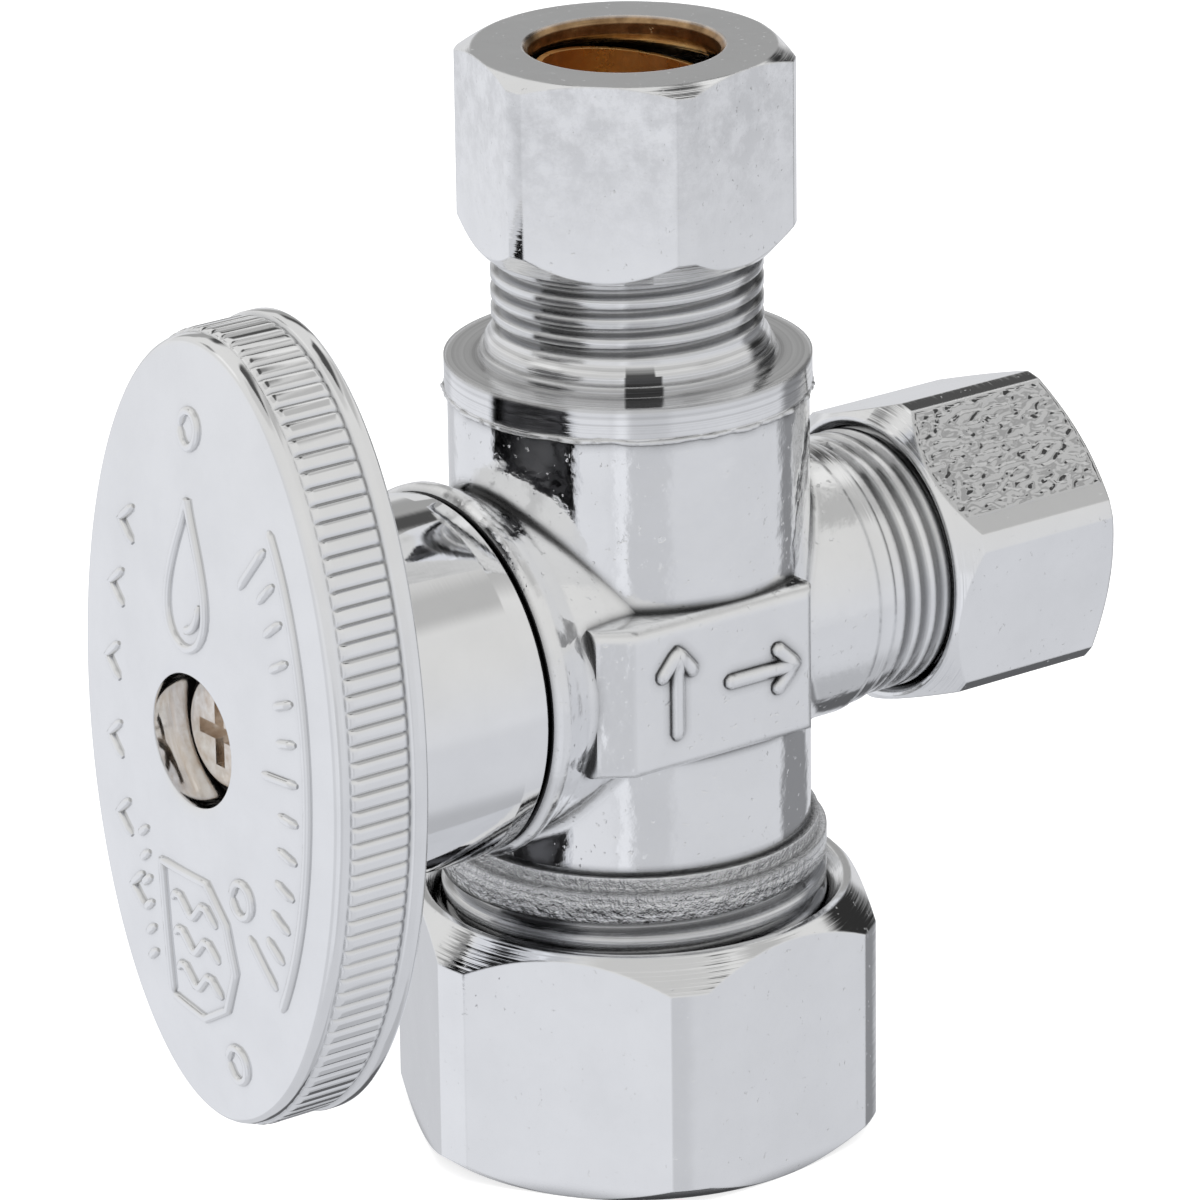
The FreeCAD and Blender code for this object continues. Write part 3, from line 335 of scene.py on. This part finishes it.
def chrome_nut(name, axis, throat, smoky=None):
    """Nut: drawn flats with faint lines, turned chamfers, and bare brass in the bore.

    throat is the bore's radius, and smoky gives the places along the axis between which the
    plate grows hazy."""
    material, tree = new_material(name)
    point = mm_point(tree)
    color, roughness = chrome_base(tree, point, 0.06)
    radius, along = about_axis(tree, point, axis)
    stretched = {"X": along, "Y": product(tree, radius, 0.15)}
    drawn = node(tree, "ShaderNodeCombineXYZ", stretched).outputs[0]
    normal = bump(tree, noise(tree, point, 0.35, 2.0), 0.03, soft_edges(tree, 0.16))
    normal = bump(tree, noise(tree, drawn, 3.0, 3.0), 0.012, normal)
    pits = remap(tree, noise(tree, point, 2.6, 3.0, 0.65), 0.25, 0.33, smooth=True)
    normal = bump(tree, pits, 0.02, normal)
    facing = node(tree, "ShaderNodeNewGeometry").outputs["True Normal"]
    tapered = maths(tree, "ABSOLUTE", dot(tree, facing, axis[1]))
    chamfer = product(tree, remap(tree, tapered, 0.15, 0.25), remap(tree, tapered, 0.97, 0.92))
    normal = bump(tree, product(tree, lathe_lines(tree, point, axis, 3.0), chamfer), 0.03, normal)
    bare = remap(tree, radius, throat + 0.15, throat + 0.35, 1.0, 0.0)
    stain = remap(tree, noise(tree, point, 1.2, 4.0, 0.65), 0.35, 0.65)
    if smoky is not None:
        haze = remap(tree, noise(tree, point, 0.7, 6.0, 0.7), 0.40, 0.60)
        upright = remap(tree, tapered, 0.3, 0.1)
        smoke = product(tree, haze, upright, remap(tree, along, *smoky))
        color = darkened(tree, color, remap(tree, smoke, 0.0, 1.0, 1.0, 0.84))
    # painted shade in the thread roots and creases
    color = darkened(tree, color, painted_crevice_shade(tree, 0.9, 0.15))
    color = mix_colors(tree, bare, color, mix_colors(tree, stain, BARE_BRASS, BARE_BRASS_DARK))
    metal(tree, color, mix_numbers(tree, bare, roughness, 0.30), normal)
    return material


def warm_metal(name, color, dark, polish):
    """Unplated brass or tinted nickel with turning marks and slight tarnish."""
    material, tree = new_material(name)
    point = mm_point(tree)
    tarnish = remap(tree, noise(tree, point, 0.8, 5.0, 0.65), 0.35, 0.7)
    normal = bump(tree, noise(tree, point, 3.0, 4.0), 0.01, soft_edges(tree, 0.05))
    roughness = remap(tree, tarnish, 0.0, 1.0, polish, polish * 1.8)
    metal(tree, mix_colors(tree, tarnish, color, dark), roughness, normal)
    return material


def moulded(name, color, roughness, sheen):
    """Seal rubber or fluoropolymer with a fine moulded grain."""
    material, tree = new_material(name)
    grain = noise(tree, mm_point(tree), 6.0, 4.0, 0.6)
    inputs = {
        "Base Color": mix_colors(tree, grain, color, tuple(0.85 * c for c in color)),
        "Roughness": remap(tree, grain, 0.3, 0.7, roughness * 0.85, roughness),
        "Sheen Weight": sheen,
        "Normal": bump(tree, grain, 0.008, soft_edges(tree, 0.05)),
    }
    surface = node(tree, "ShaderNodeBsdfPrincipled", inputs)
    node(tree, "ShaderNodeOutputMaterial", {"Surface": surface.outputs[0]})
    return material


FORGED = chrome_forged("forged_chrome_plate")
BONNET = chrome_turned("turned_chrome_plate", STEM_AXIS)
BALL = chrome_plain("ball_chrome_plate", 0.03, 0.004, 0.05)
CAST = chrome_handle("handle_chrome_plate")
INLET_NUT = chrome_nut("inlet_nut_chrome", FLOW_AXIS, 8.1)
TOP_NUT = chrome_nut("top_nut_chrome", FLOW_AXIS, 5.0, smoky=(50, 57))
SIDE_NUT = chrome_nut("side_nut_chrome", STEM_AXIS, 5.0)
CRINKLED = chrome_plain("crinkled_chrome_plate", 0.08, 0.0, 0.02, 0.72)
SLEEVE = warm_metal("sleeve_brass_turned", (1.0, 0.68, 0.30), (0.97, 0.52, 0.17), 0.24)
BRASS = warm_metal("plain_brass_turned", (0.80, 0.60, 0.28), (0.55, 0.38, 0.16), 0.22)
SCREW = warm_metal("screw_nickel", (0.93, 0.90, 0.86), (0.66, 0.55, 0.45), 0.14)
PLASTIC = moulded("seat_fluoropolymer", (0.90, 0.90, 0.88), 0.45, 0.0)
RUBBER = moulded("seal_rubber_black", (0.03, 0.03, 0.03), 0.6, 0.2)

FINISH = [
    (FORGED, ["valve_body"]),
    (BONNET, ["bonnet"]),
    (BALL, ["ball"]),
    (CAST, ["handle"]),
    (INLET_NUT, ["inlet_nut"]),
    (TOP_NUT, ["top_outlet_nut"]),
    (SIDE_NUT, ["side_outlet_nut"]),
    (SLEEVE, ["inlet_ferrule", "top_outlet_ferrule", "side_outlet_ferrule"]),
    (BRASS, ["stem", "seat_retainer"]),
    (SCREW, ["handle_screw", "screw_lock_washer"]),
    (PLASTIC, ["inlet_seat", "outlet_seat", "stem_thrust_washer"]),
    (RUBBER, ["bonnet_o_ring", "stem_o_ring_inner", "stem_o_ring_outer"]),
]
for material, names in FINISH:
    for name in names:
        NODES[name].data.materials.clear()
        NODES[name].data.materials.append(material)


# ---- new pieces ------------------------------------------------------------------------

def new_piece(name, form, material, body, smooth_angle=40):
    """Turn a bmesh in millimetres into a piece that rides on a body."""
    bmesh.ops.recalc_face_normals(form, faces=form.faces)
    bmesh.ops.scale(form, vec=(MM, MM, MM), verts=form.verts)
    mesh = bpy.data.meshes.new(name)
    form.to_mesh(mesh)
    form.free()
    mesh.materials.append(material)
    mesh.shade_smooth()
    mesh.set_sharp_from_angle(angle=math.radians(smooth_angle))
    piece = bpy.data.objects.new(name, mesh)
    bpy.context.scene.collection.objects.link(piece)
    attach(piece, body)
    return piece


# ---- handle ------------------------------------------------------------------------------

def even_angles(half_width, half_height, count):
    """Angles that step evenly along the edge of an ellipse."""
    fine = 16 * count
    lengths = [0.0]
    for i in range(fine):
        middle = 2 * math.pi * (i + 0.5) / fine
        step = math.hypot(half_width * math.sin(middle), half_height * math.cos(middle))
        lengths.append(lengths[-1] + step)
    angles = []
    index = 0
    for i in range(count):
        target = lengths[-1] * i / count
        while lengths[index + 1] < target:
            index += 1
        share = (target - lengths[index]) / (lengths[index + 1] - lengths[index])
        angles.append(2 * math.pi * (index + share) / fine)
    return angles


def dome_x(y, z):
    """Front of the domed face at a place across the stem's axis."""
    spread = (y / FACE[0]) ** 2 + (z / FACE[1]) ** 2
    return FACE_CROWN + (FACE_EDGE - FACE_CROWN) * spread


def oval_ring(angles, half_width, half_height, x):
    """An oval round the X axis, which make_handle lifts to the stem's axis."""
    return [Vector((x, half_width * math.cos(a), half_height * math.sin(a))) for a in angles]


def round_ring(angles, radius, x):
    return oval_ring(angles, radius, radius, x)


def wider(halves, extra):
    """A half width and a half height, both grown."""
    return halves[0] + extra, halves[1] + extra


def square_ring(angles, half, x):
    ring = []
    for a in angles:
        reach = half / max(abs(math.cos(a)), abs(math.sin(a)))
        ring.append(Vector((x, reach * math.cos(a), reach * math.sin(a))))
    return ring


def dome_ring(angles, share):
    """A ring of the face between the recess (share 0) and the face's edge (share 1)."""
    inner = RECESS_RADIUS + 0.15
    ring = []
    for a in angles:
        y = ((1 - share) * inner + share * FACE[0]) * math.cos(a)
        z = ((1 - share) * inner + share * FACE[1]) * math.sin(a)
        ring.append(Vector((dome_x(y, z), y, z)))
    return ring


def rib_ring(angles, height, x):
    """A ring of the grip: rounded ribs with narrow grooves between them."""
    ring = []
    for i, a in enumerate(angles):
        place = (i % RIB_SAMPLES) / RIB_SAMPLES
        lift = height * (1 - abs(2 * place - 1) ** 5)
        ring.append(Vector((x, (WALL[0] + lift) * math.cos(a), (WALL[1] + lift) * math.sin(a))))
    return ring


def quarter(steps):
    """(sine, 1 - cosine) pairs over a quarter turn."""
    turns = [math.pi / 2 * i / steps for i in range(steps + 1)]
    return [(math.sin(turn), 1 - math.cos(turn)) for turn in turns]


def face_rings(angles):
    """From the screw hole, up the recess and over the dome to the grip."""
    rings = [
        round_ring(angles, HOLE_RADIUS, RECESS_FLOOR),
        round_ring(angles, RECESS_RADIUS - 0.1, RECESS_FLOOR),
        round_ring(angles, RECESS_RADIUS, RECESS_FLOOR - 0.1),
        round_ring(angles, RECESS_RADIUS, FACE_CROWN + 0.25),
        round_ring(angles, RECESS_RADIUS + 0.03, FACE_CROWN + 0.12),
    ]
    steps = 24
    rings += [dome_ring(angles, i / steps) for i in range(steps + 1)]
    shoulder_width = WALL[0] - FACE[0] + 0.12
    shoulder_depth = GRIP_FRONT - 0.25 - FACE_EDGE
    for outward, down in quarter(6)[1:]:
        rings.append(oval_ring(angles, *wider(FACE, shoulder_width * outward),
                               FACE_EDGE + shoulder_depth * down))
    rings.append(oval_ring(angles, *WALL, GRIP_FRONT - 0.05))
    return rings


def grip_rings(angles):
    """The ribs, the plain band behind them and the rounded rear rim."""
    rings = []
    for rise, run in quarter(5):
        rings.append(rib_ring(angles, RIB_HEIGHT * rise, GRIP_FRONT + RIB_END * run))
    for rise, run in reversed(quarter(5)):
        rings.append(rib_ring(angles, RIB_HEIGHT * rise, GRIP_REAR - RIB_END * run))
    rings.append(oval_ring(angles, *wider(WALL, REAR_BAND - 0.1), GRIP_REAR + 0.08))
    rings.append(oval_ring(angles, *wider(WALL, REAR_BAND), GRIP_REAR + 0.2))
    for back, inward in quarter(4):
        rings.append(oval_ring(angles, *wider(WALL, REAR_BAND - REAR_ROUND * inward),
                               REAR - REAR_ROUND * (1 - back)))
    return rings


def hollow_rings(angles):
    """Down into the hollow, over the hub and through its square socket."""
    return [
        oval_ring(angles, *wider(HOLLOW, 0.15), REAR),
        oval_ring(angles, *HOLLOW, REAR - 0.15),
        oval_ring(angles, *wider(HOLLOW, -0.1), HOLLOW_FRONT + 0.5),
        oval_ring(angles, *wider(HOLLOW, -0.5), HOLLOW_FRONT),
        round_ring(angles, HUB_RADIUS + 0.5, HOLLOW_FRONT),
        round_ring(angles, HUB_RADIUS, HOLLOW_FRONT + 0.5),
        round_ring(angles, HUB_RADIUS, HUB_END - 0.2),
        round_ring(angles, HUB_RADIUS - 0.2, HUB_END),
        square_ring(angles, SOCKET_HALF, HUB_END),
        square_ring(angles, SOCKET_HALF, SOCKET_FLOOR),
        round_ring(angles, HOLE_RADIUS, SOCKET_FLOOR),
    ]


def make_handle():
    """A closed skin of rings that stands for the CAD handle."""
    angles = even_angles(*WALL, GRIP_RIBS * RIB_SAMPLES)
    form = bmesh.new()
    lift = Vector((0, 0, AXIS_Z))
    outline = face_rings(angles) + grip_rings(angles) + hollow_rings(angles)
    rings = [[form.verts.new(point + lift) for point in ring] for ring in outline]
    for ring, after in zip(rings, rings[1:] + rings[:1]):
        for i in range(len(angles)):
            j = (i + 1) % len(angles)
            form.faces.new((ring[i], ring[j], after[j], after[i]))
    piece = new_piece("handle_casting", form, CAST, "handle")
    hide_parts("handle")


def make_stop_tab():
    """The block in the hollow that meets the bonnet's turn stops."""
    form = bmesh.new()
    angle, half_angle = math.radians(45), math.radians(8)
    inner, outer = 6.7, 9.2
    verts = []
    for x in (TAB_REAR, HOLLOW_FRONT - 0.1):
        for radius, side in ((inner, -1), (outer, -1), (outer, 1), (inner, 1)):
            turn = angle + side * half_angle
            y, z = radius * math.cos(turn), radius * math.sin(turn) + AXIS_Z
            verts.append(form.verts.new((x, y, z)))
    form.faces.new(verts[:4])
    form.faces.new(reversed(verts[4:]))
    for i in range(4):
        j = (i + 1) % 4
        form.faces.new((verts[i], verts[j], verts[4 + j], verts[4 + i]))
    bmesh.ops.bevel(form, geom=form.edges[:], offset=0.15, segments=2, affect="EDGES")
    new_piece("handle_stop_tab", form, CAST, "handle")


# ---- raised marks ----------------------------------------------------------------------------

def arc(centre, radii, start, end, steps=24):
    """Points of an oval arc, angles in degrees from the first axis to the second."""
    points = []
    for i in range(steps + 1):
        a = math.radians(start + (end - start) * i / steps)
        points.append((centre[0] + radii[0] * math.cos(a), centre[1] + radii[1] * math.sin(a)))
    return points


def ridge(form, points, outward, width, height):
    """Sweep a rounded ridge along points; outward gives the surface's outward direction."""
    profile = 7
    sunk = 0.06
    rows = []
    for i, point in enumerate(points):
        before, after = points[max(i - 1, 0)], points[min(i + 1, len(points) - 1)]
        out = outward(point)
        across = out.cross(after - before).normalized()
        fade = 0.55 if i in (0, len(points) - 1) else 1.0
        row = []
        for k in range(profile):
            turn = math.pi * k / (profile - 1)
            side = width / 2 * fade * math.cos(turn)
            lift = height * fade * math.sin(turn) ** 0.6 - sunk
            row.append(form.verts.new(point + across * side + out * lift))
        rows.append(row)
    for row, after in zip(rows, rows[1:]):
        for k in range(profile):
            m = (k + 1) % profile
            form.faces.new((row[k], row[m], after[m], after[k]))
    form.faces.new(rows[0])
    form.faces.new(reversed(rows[-1]))


def dense_line(points, step):
    """The points of a polyline, with more between them so that no gap is longer than step."""
    dense = [Vector(points[0])]
    for start, end in zip(points, points[1:]):
        start, end = Vector(start), Vector(end)
        count = max(1, math.ceil((end - start).length / step))
        dense += [start.lerp(end, (i + 1) / count) for i in range(count)]
    return dense


def on_face(y, z):
    """The place on the domed face over (y, z), which are measured from the stem's axis."""
    return Vector((dome_x(y, z), y, z + AXIS_Z))


def face_out(point):
    """Outward direction of the domed face at a point on it."""
    slope = 2 * (FACE_EDGE - FACE_CROWN)
    y, z = point.y / FACE[0] ** 2, (point.z - AXIS_Z) / FACE[1] ** 2
    return Vector((-1, slope * y, slope * z)).normalized()


def drop_outline(centre, size):
    """A water drop: a round belly with a point on top."""
    points = []
    for i in range(37):
        a = 2 * math.pi * i / 36
        belly = 0.62 * math.sin(a) * math.sin(a / 2) ** 1.6
        points.append((centre[0] + size * belly, centre[1] + size * math.cos(a)))
    return points


def turn_scale():
    """An arc with ticks on the boss's side of the face, for the quarter turn."""
    long_tick, short_tick, outer = (6.0, 13.6), (7.2, 15.2), (8.6, 17.2)
    strokes = [[(-y, z) for y, z in arc((0, 0), (9.3, 18.1), -46, 46, 40)]]
    for index in range(13):
        a = math.radians(-44 + 88 * index / 12)
        near = long_tick if index % 6 == 0 else short_tick
        ends = (near, outer)
        strokes.append([(-half_y * math.cos(a), half_z * math.sin(a)) for half_y, half_z in ends])
    return strokes


def chevrons():
    """A row of arrow heads on the far side of the face."""
    strokes = []
    for index in range(6):
        a = math.radians(-38 + 76 * index / 5)
        y, z = 8.0 * math.cos(a), 16.4 * math.sin(a)
        strokes.append([(y - 0.85, z - 1.0), (y + 0.5, z), (y - 0.85, z + 1.0)])
    return strokes


def water_badge():
    """A rounded shield with three waves, and a row of dashes beside it."""
    strokes = [[(3.3, -15.2), (3.3, -7.6), (-0.9, -7.6), (-2.4, -9.4), (-2.9, -12.0),
                (-1.9, -14.4), (0.2, -15.6), (3.3, -15.2)]]
    for row in range(3):
        z = -9.5 - 2.0 * row
        strokes.append([(2.5 - 0.4 * i, z + 0.5 * math.sin(math.pi * i / 3)) for i in range(11)])
    for index in range(6):
        z = -6.2 - 1.4 * index
        strokes.append([(4.6, z), (5.6, z - 0.7)])
    return strokes


def small_rings():
    centres = ((0.3, 16.6), (-3.9, -7.6), (-2.3, -17.4))
    return [arc(centre, (0.75, 0.95), 0, 360, 20) for centre in centres]


def make_face_marks():
    """Generic raised marks: a turn scale, arrow heads, a drop, a wave badge and small rings."""
    drop = [drop_outline((0.2, 9.0), 4.0), arc((0.2, 7.6), (1.2, 1.6), 180, 275, 10)]
    form = bmesh.new()
    for stroke in turn_scale() + chevrons() + drop + water_badge() + small_rings():
        points = [on_face(y, z) for y, z in dense_line(stroke, 0.35)]
        ridge(form, points, face_out, 0.5, 0.30)
    new_piece("handle_face_marks", form, CAST, "handle", 60)


def make_boss_marks():
    """Two raised flow arrows on the boss: one for each outlet."""
    out = Vector((0, -1, 0))
    strokes = [
        [(-4.7, -2.5), (-4.7, 2.3)],
        [(-5.9, 0.9), (-4.7, 2.3), (-3.5, 0.9)],
        [(-1.6, -0.1), (3.0, -0.1)],
        [(1.6, 1.2), (3.0, -0.1), (1.6, -1.4)],
    ]
    form = bmesh.new()
    for stroke in strokes:
        points = [Vector((x, BOSS_FACE, z + AXIS_Z)) for x, z in dense_line(stroke, 0.3)]
        ridge(form, points, lambda point: out, 0.85, 0.38)
    new_piece("boss_flow_arrows", form, FORGED, "valve", 60)


def make_parting_lip():
    """The ragged lip that the forging leaves below the machined collar."""
    form = bmesh.new()
    count, profile = 360, 6
    level = COLLAR_FOOT - 0.1
    rows = []
    for i in range(count):
        a = 2 * math.pi * i / count
        spot = Vector((math.cos(a), math.sin(a), 0))
        lip = 0.34 + 0.14 * field.noise(spot * 9) + 0.10 * field.noise(spot * 31)
        middle = level + 0.16 * field.noise(spot * 5 + Vector((0, 0, 3)))
        row = []
        for k in range(profile):
            turn = -math.pi / 2 + math.pi * k / (profile - 1)
            reach = COLLAR_RADIUS - 0.1 + lip * math.cos(turn)
            z = middle + 0.2 * math.sin(turn)
            row.append(form.verts.new((spot.x * reach, spot.y * reach, z)))
        rows.append(row)
    for row, after in zip(rows, rows[1:] + rows[:1]):
        for k in range(profile):
            m = (k + 1) % profile
            form.faces.new((row[k], row[m], after[m], after[k]))
    new_piece("collar_parting_lip", form, FORGED, "valve", 60)


# ---- crinkled flat ---------------------------------------------------------------------------

def drift(spot):
    """A smooth random offset. It is made of three plain noises, which are the same each run."""
    places = (Vector((0, 0, 0)), Vector((31.4, 7.7, 13.2)), Vector((5.9, 41.3, 23.6)))
    return Vector([field.noise(spot + place) for place in places])


def crinkle_height(spot):
    """Rise of the crinkled plate above the flat, in millimetres."""
    drawn_out = Vector((1.4 * spot.x, 3.2 * spot.y, 0))
    drawn_out += 0.4 * drift(drawn_out * 0.6)
    creases = field.noise(drawn_out)
    fine = field.noise(2.2 * drawn_out + Vector((5, 1, 2)))
    return 0.05 + 0.10 * creases + 0.035 * fine


def make_crinkled_flat():
    """The upper front flat of the side nut, crinkled but for a strip at its lower edge."""
    turn = math.radians(131.7)            # the flat's direction, from +Y towards +Z
    out = Vector((0, math.cos(turn), math.sin(turn)))
    side = out.cross(Vector((1, 0, 0)))
    lowest, highest, step = -3.0, 4.0, 0.075
    rear, rear_curve = 16.15, 0.067       # the flat ends in arcs where it meets the chamfers
    front, front_curve = 26.52, 0.031
    fade, sunk = 0.2, 0.06
    columns = math.ceil((highest - lowest) / step)
    rows = math.ceil((front - rear) / step)
    base = Vector((0, 0, AXIS_Z)) + out * (ACROSS_FLATS / 2)
    form = bmesh.new()
    top, bottom = [], []
    for i in range(columns + 1):
        across = lowest + (highest - lowest) * i / columns
        first, last = rear + rear_curve * across ** 2, front - front_curve * across ** 2
        for j in range(rows + 1):
            x = first + (last - first) * j / rows
            edge = min(x - first, last - x, across - lowest, highest - across)
            inward = min(edge / fade, 1.0)
            rise = max(crinkle_height(Vector((x, across, 0))), 0.005) * inward - sunk * (1 - inward)
            flat = base + side * across + Vector((x, 0, 0))
            top.append(form.verts.new(flat + out * rise))
            bottom.append(form.verts.new(flat - out * 2 * sunk))
    width = rows + 1
    for i in range(columns):
        for j in range(rows):
            k = i * width + j
            corners = (k, k + 1, k + width + 1, k + width)
            form.faces.new([top[c] for c in corners])
            form.faces.new([bottom[c] for c in reversed(corners)])
    rim = [i * width for i in range(columns + 1)]
    rim += [columns * width + j for j in range(1, width)]
    rim += [i * width + rows for i in range(columns - 1, -1, -1)]
    rim += list(range(rows - 1, 0, -1))
    for k, after in zip(rim, rim[1:] + rim[:1]):
        form.faces.new((top[k], top[after], bottom[after], bottom[k]))
    new_piece("side_nut_crinkle", form, CRINKLED, "side_nut", 75)


# ---- studio -----------------------------------------------------------------------------

def make_floor():
    """A plain pale sweep, lit a little brighter for the camera and unseen by the chrome."""
    mesh = bpy.data.meshes.new("floor")
    form = bmesh.new()
    bmesh.ops.create_circle(form, cap_ends=True, radius=6.0, segments=96)
    form.to_mesh(mesh)
    form.free()
    floor = bpy.data.objects.new("floor", mesh)
    floor.location.z = -0.02 * MM         # just clear of the nut that stands on it
    bpy.context.scene.collection.objects.link(floor)
    material, tree = new_material("floor_paper")
    tone = remap(tree, noise(tree, mm_point(tree), 0.05, 3.0), 0.3, 0.7, 0.79, 0.81)
    paper = mix_colors(tree, tone, (0, 0, 0), (1, 1, 1))
    matt = node(tree, "ShaderNodeBsdfDiffuse", {"Color": paper})
    glow = node(tree, "ShaderNodeEmission", {"Strength": 0.7})
    total = node(tree, "ShaderNodeAddShader", {0: matt.outputs[0], 1: glow.outputs[0]})
    node(tree, "ShaderNodeOutputMaterial", {"Surface": total.outputs[0]})
    mesh.materials.append(material)
    floor.visible_glossy = False


# what the chrome sees: azimuth, half width, lowest and highest elevation, level
PANELS = [
    (110, 42, -45, 8, 0.80),       # wall that the handle's face looks at
    (76, 9, -45, 2, 0.62),
    (-42, 16, -45, 4, 0.67),
    (-154, 16, -45, 4, 0.76),
    (5, 19, -45, 12, 0.26),        # dim room behind on the right
    (-114, 12, -45, -6, 0.60),     # the camera and its stand
    (-131.5, 1.6, -45, -6, 0.85),
    (57, 26, 12, 30, 0.36),
    (47, 15, 30, 44, 0.08),        # gap between the overhead lights
    (-50, 18, -16, 40, 0.72),      # long light along the stem's side
    (-26, 26, 42, 56, 0.50),
    (16, 8, 46, 62, 0.85),
    (-20, 45, 60, 82, 0.08),
    (14, 20, 8, 28, 0.03),
    (-115, 48, 56, 84, 0.60),      # overhead soft box
    (122, 9, 34, 46, 0.25),
    (150, 14, 34, 50, 0.9),
    (-12, 26, -70, -50, 0.48),     # table's edge
    (38, 24, -64, -38, 0.12),
]


def panel_mask(tree, flat, height, azimuth, half, lowest, highest, soft=4):
    """1 inside a panel of the studio and 0 outside, with edges that fade over soft degrees.

    flat is the level direction of the ray and height its upward part."""
    def sine(degrees):
        return math.sin(math.radians(degrees))

    a = math.radians(azimuth)
    cosine = dot(tree, flat, (math.cos(a), math.sin(a), 0))
    edges = [math.cos(math.radians(max(angle, 0.5))) for angle in (half + soft, half - soft)]
    across = remap(tree, cosine, *edges, smooth=True)
    above = remap(tree, height, sine(lowest - soft), sine(lowest + soft), smooth=True)
    below = remap(tree, height, sine(highest + soft), sine(highest - soft), smooth=True)
    return product(tree, across, above, below)


def make_world():
    """A white studio as the chrome sees it: soft and even, with darker gaps between panels."""
    world = bpy.data.worlds.new("studio")
    bpy.context.scene.world = world
    world.use_nodes = True
    tree = world.node_tree
    tree.nodes.clear()
    ray = node(tree, "ShaderNodeTexCoord").outputs["Generated"]
    height = node(tree, "ShaderNodeSeparateXYZ", {"Vector": ray}).outputs["Z"]
    flat = level_part(tree, ray)
    level = remap(tree, height, -1.0, 0.4, 0.62, 0.74)
    for azimuth, half, lowest, highest, strength in PANELS:
        mask = panel_mask(tree, flat, height, azimuth, half, lowest, highest)
        level = mix_numbers(tree, mask, level, strength)
    warmth = remap(tree, height, -0.5, 0.5, smooth=True)
    color = mix_colors(tree, warmth, (0.97, 0.985, 1.03), (1.0, 0.995, 0.98))
    around = node(tree, "ShaderNodeBackground", {"Color": color, "Strength": level})
    behind = node(tree, "ShaderNodeBackground", {"Color": (1, 1, 1, 1), "Strength": 1.0})
    seen = node(tree, "ShaderNodeLightPath").outputs["Is Camera Ray"]
    shaders = {0: seen, 1: around.outputs[0], 2: behind.outputs[0]}
    both = node(tree, "ShaderNodeMixShader", shaders)
    node(tree, "ShaderNodeOutputWorld", {"Surface": both.outputs[0]})


def soft_box(name, azimuth, elevation, distance_m, size_m, watts):
    """An area light that looks at the valve. The chrome doesn't show it."""
    light = bpy.data.lights.new(name, "AREA")
    light.shape = "DISK"
    light.size = size_m
    light.energy = watts
    lamp = bpy.data.objects.new(name, light)
    bpy.context.scene.collection.objects.link(lamp)
    aim = Vector((0, 0, AXIS_Z * MM))
    a, e = math.radians(azimuth), math.radians(elevation)
    way = Vector((math.cos(a) * math.cos(e), math.sin(a) * math.cos(e), math.sin(e)))
    lamp.location = aim + distance_m * way
    lamp.rotation_euler = way.to_track_quat("Z", "Y").to_euler()
    lamp.visible_glossy = False


def make_camera():
    """The camera looks down at the front left of the valve through a long lens."""
    azimuth, elevation, roll = (math.radians(a) for a in (-36.516, 20.286, -0.771))
    distance = 423.5
    across, above = -1.633, 1.123         # from the ball's centre to the aim, in the picture
    back = Vector((math.sin(azimuth) * math.cos(elevation),
                   -math.cos(azimuth) * math.cos(elevation),
                   math.sin(elevation)))
    right = Vector((math.cos(azimuth), math.sin(azimuth), 0))
    up = back.cross(right)
    place = Vector((0, 0, AXIS_Z)) + across * right + above * up + distance * back
    right_rolled = right * math.cos(roll) + up * math.sin(roll)
    up_rolled = up * math.cos(roll) - right * math.sin(roll)
    data = bpy.data.cameras.new("camera")
    data.sensor_width = 36.0
    data.lens = 240.03
    data.clip_start = 0.01
    camera = bpy.data.objects.new("camera", data)
    turn = Matrix((right_rolled, up_rolled, back)).transposed()
    camera.matrix_world = Matrix.Translation(place * MM) @ turn.to_4x4()
    bpy.context.scene.collection.objects.link(camera)
    bpy.context.scene.camera = camera


make_handle()
make_stop_tab()
make_face_marks()
make_boss_marks()
make_parting_lip()
make_crinkled_flat()
make_floor()
make_world()
soft_box("key", azimuth=-100, elevation=60, distance_m=0.8, size_m=0.5, watts=1.6)
soft_box("fill", azimuth=150, elevation=45, distance_m=0.9, size_m=0.5, watts=0.8)
make_camera()
bpy.context.scene.view_settings.view_transform = "Standard"
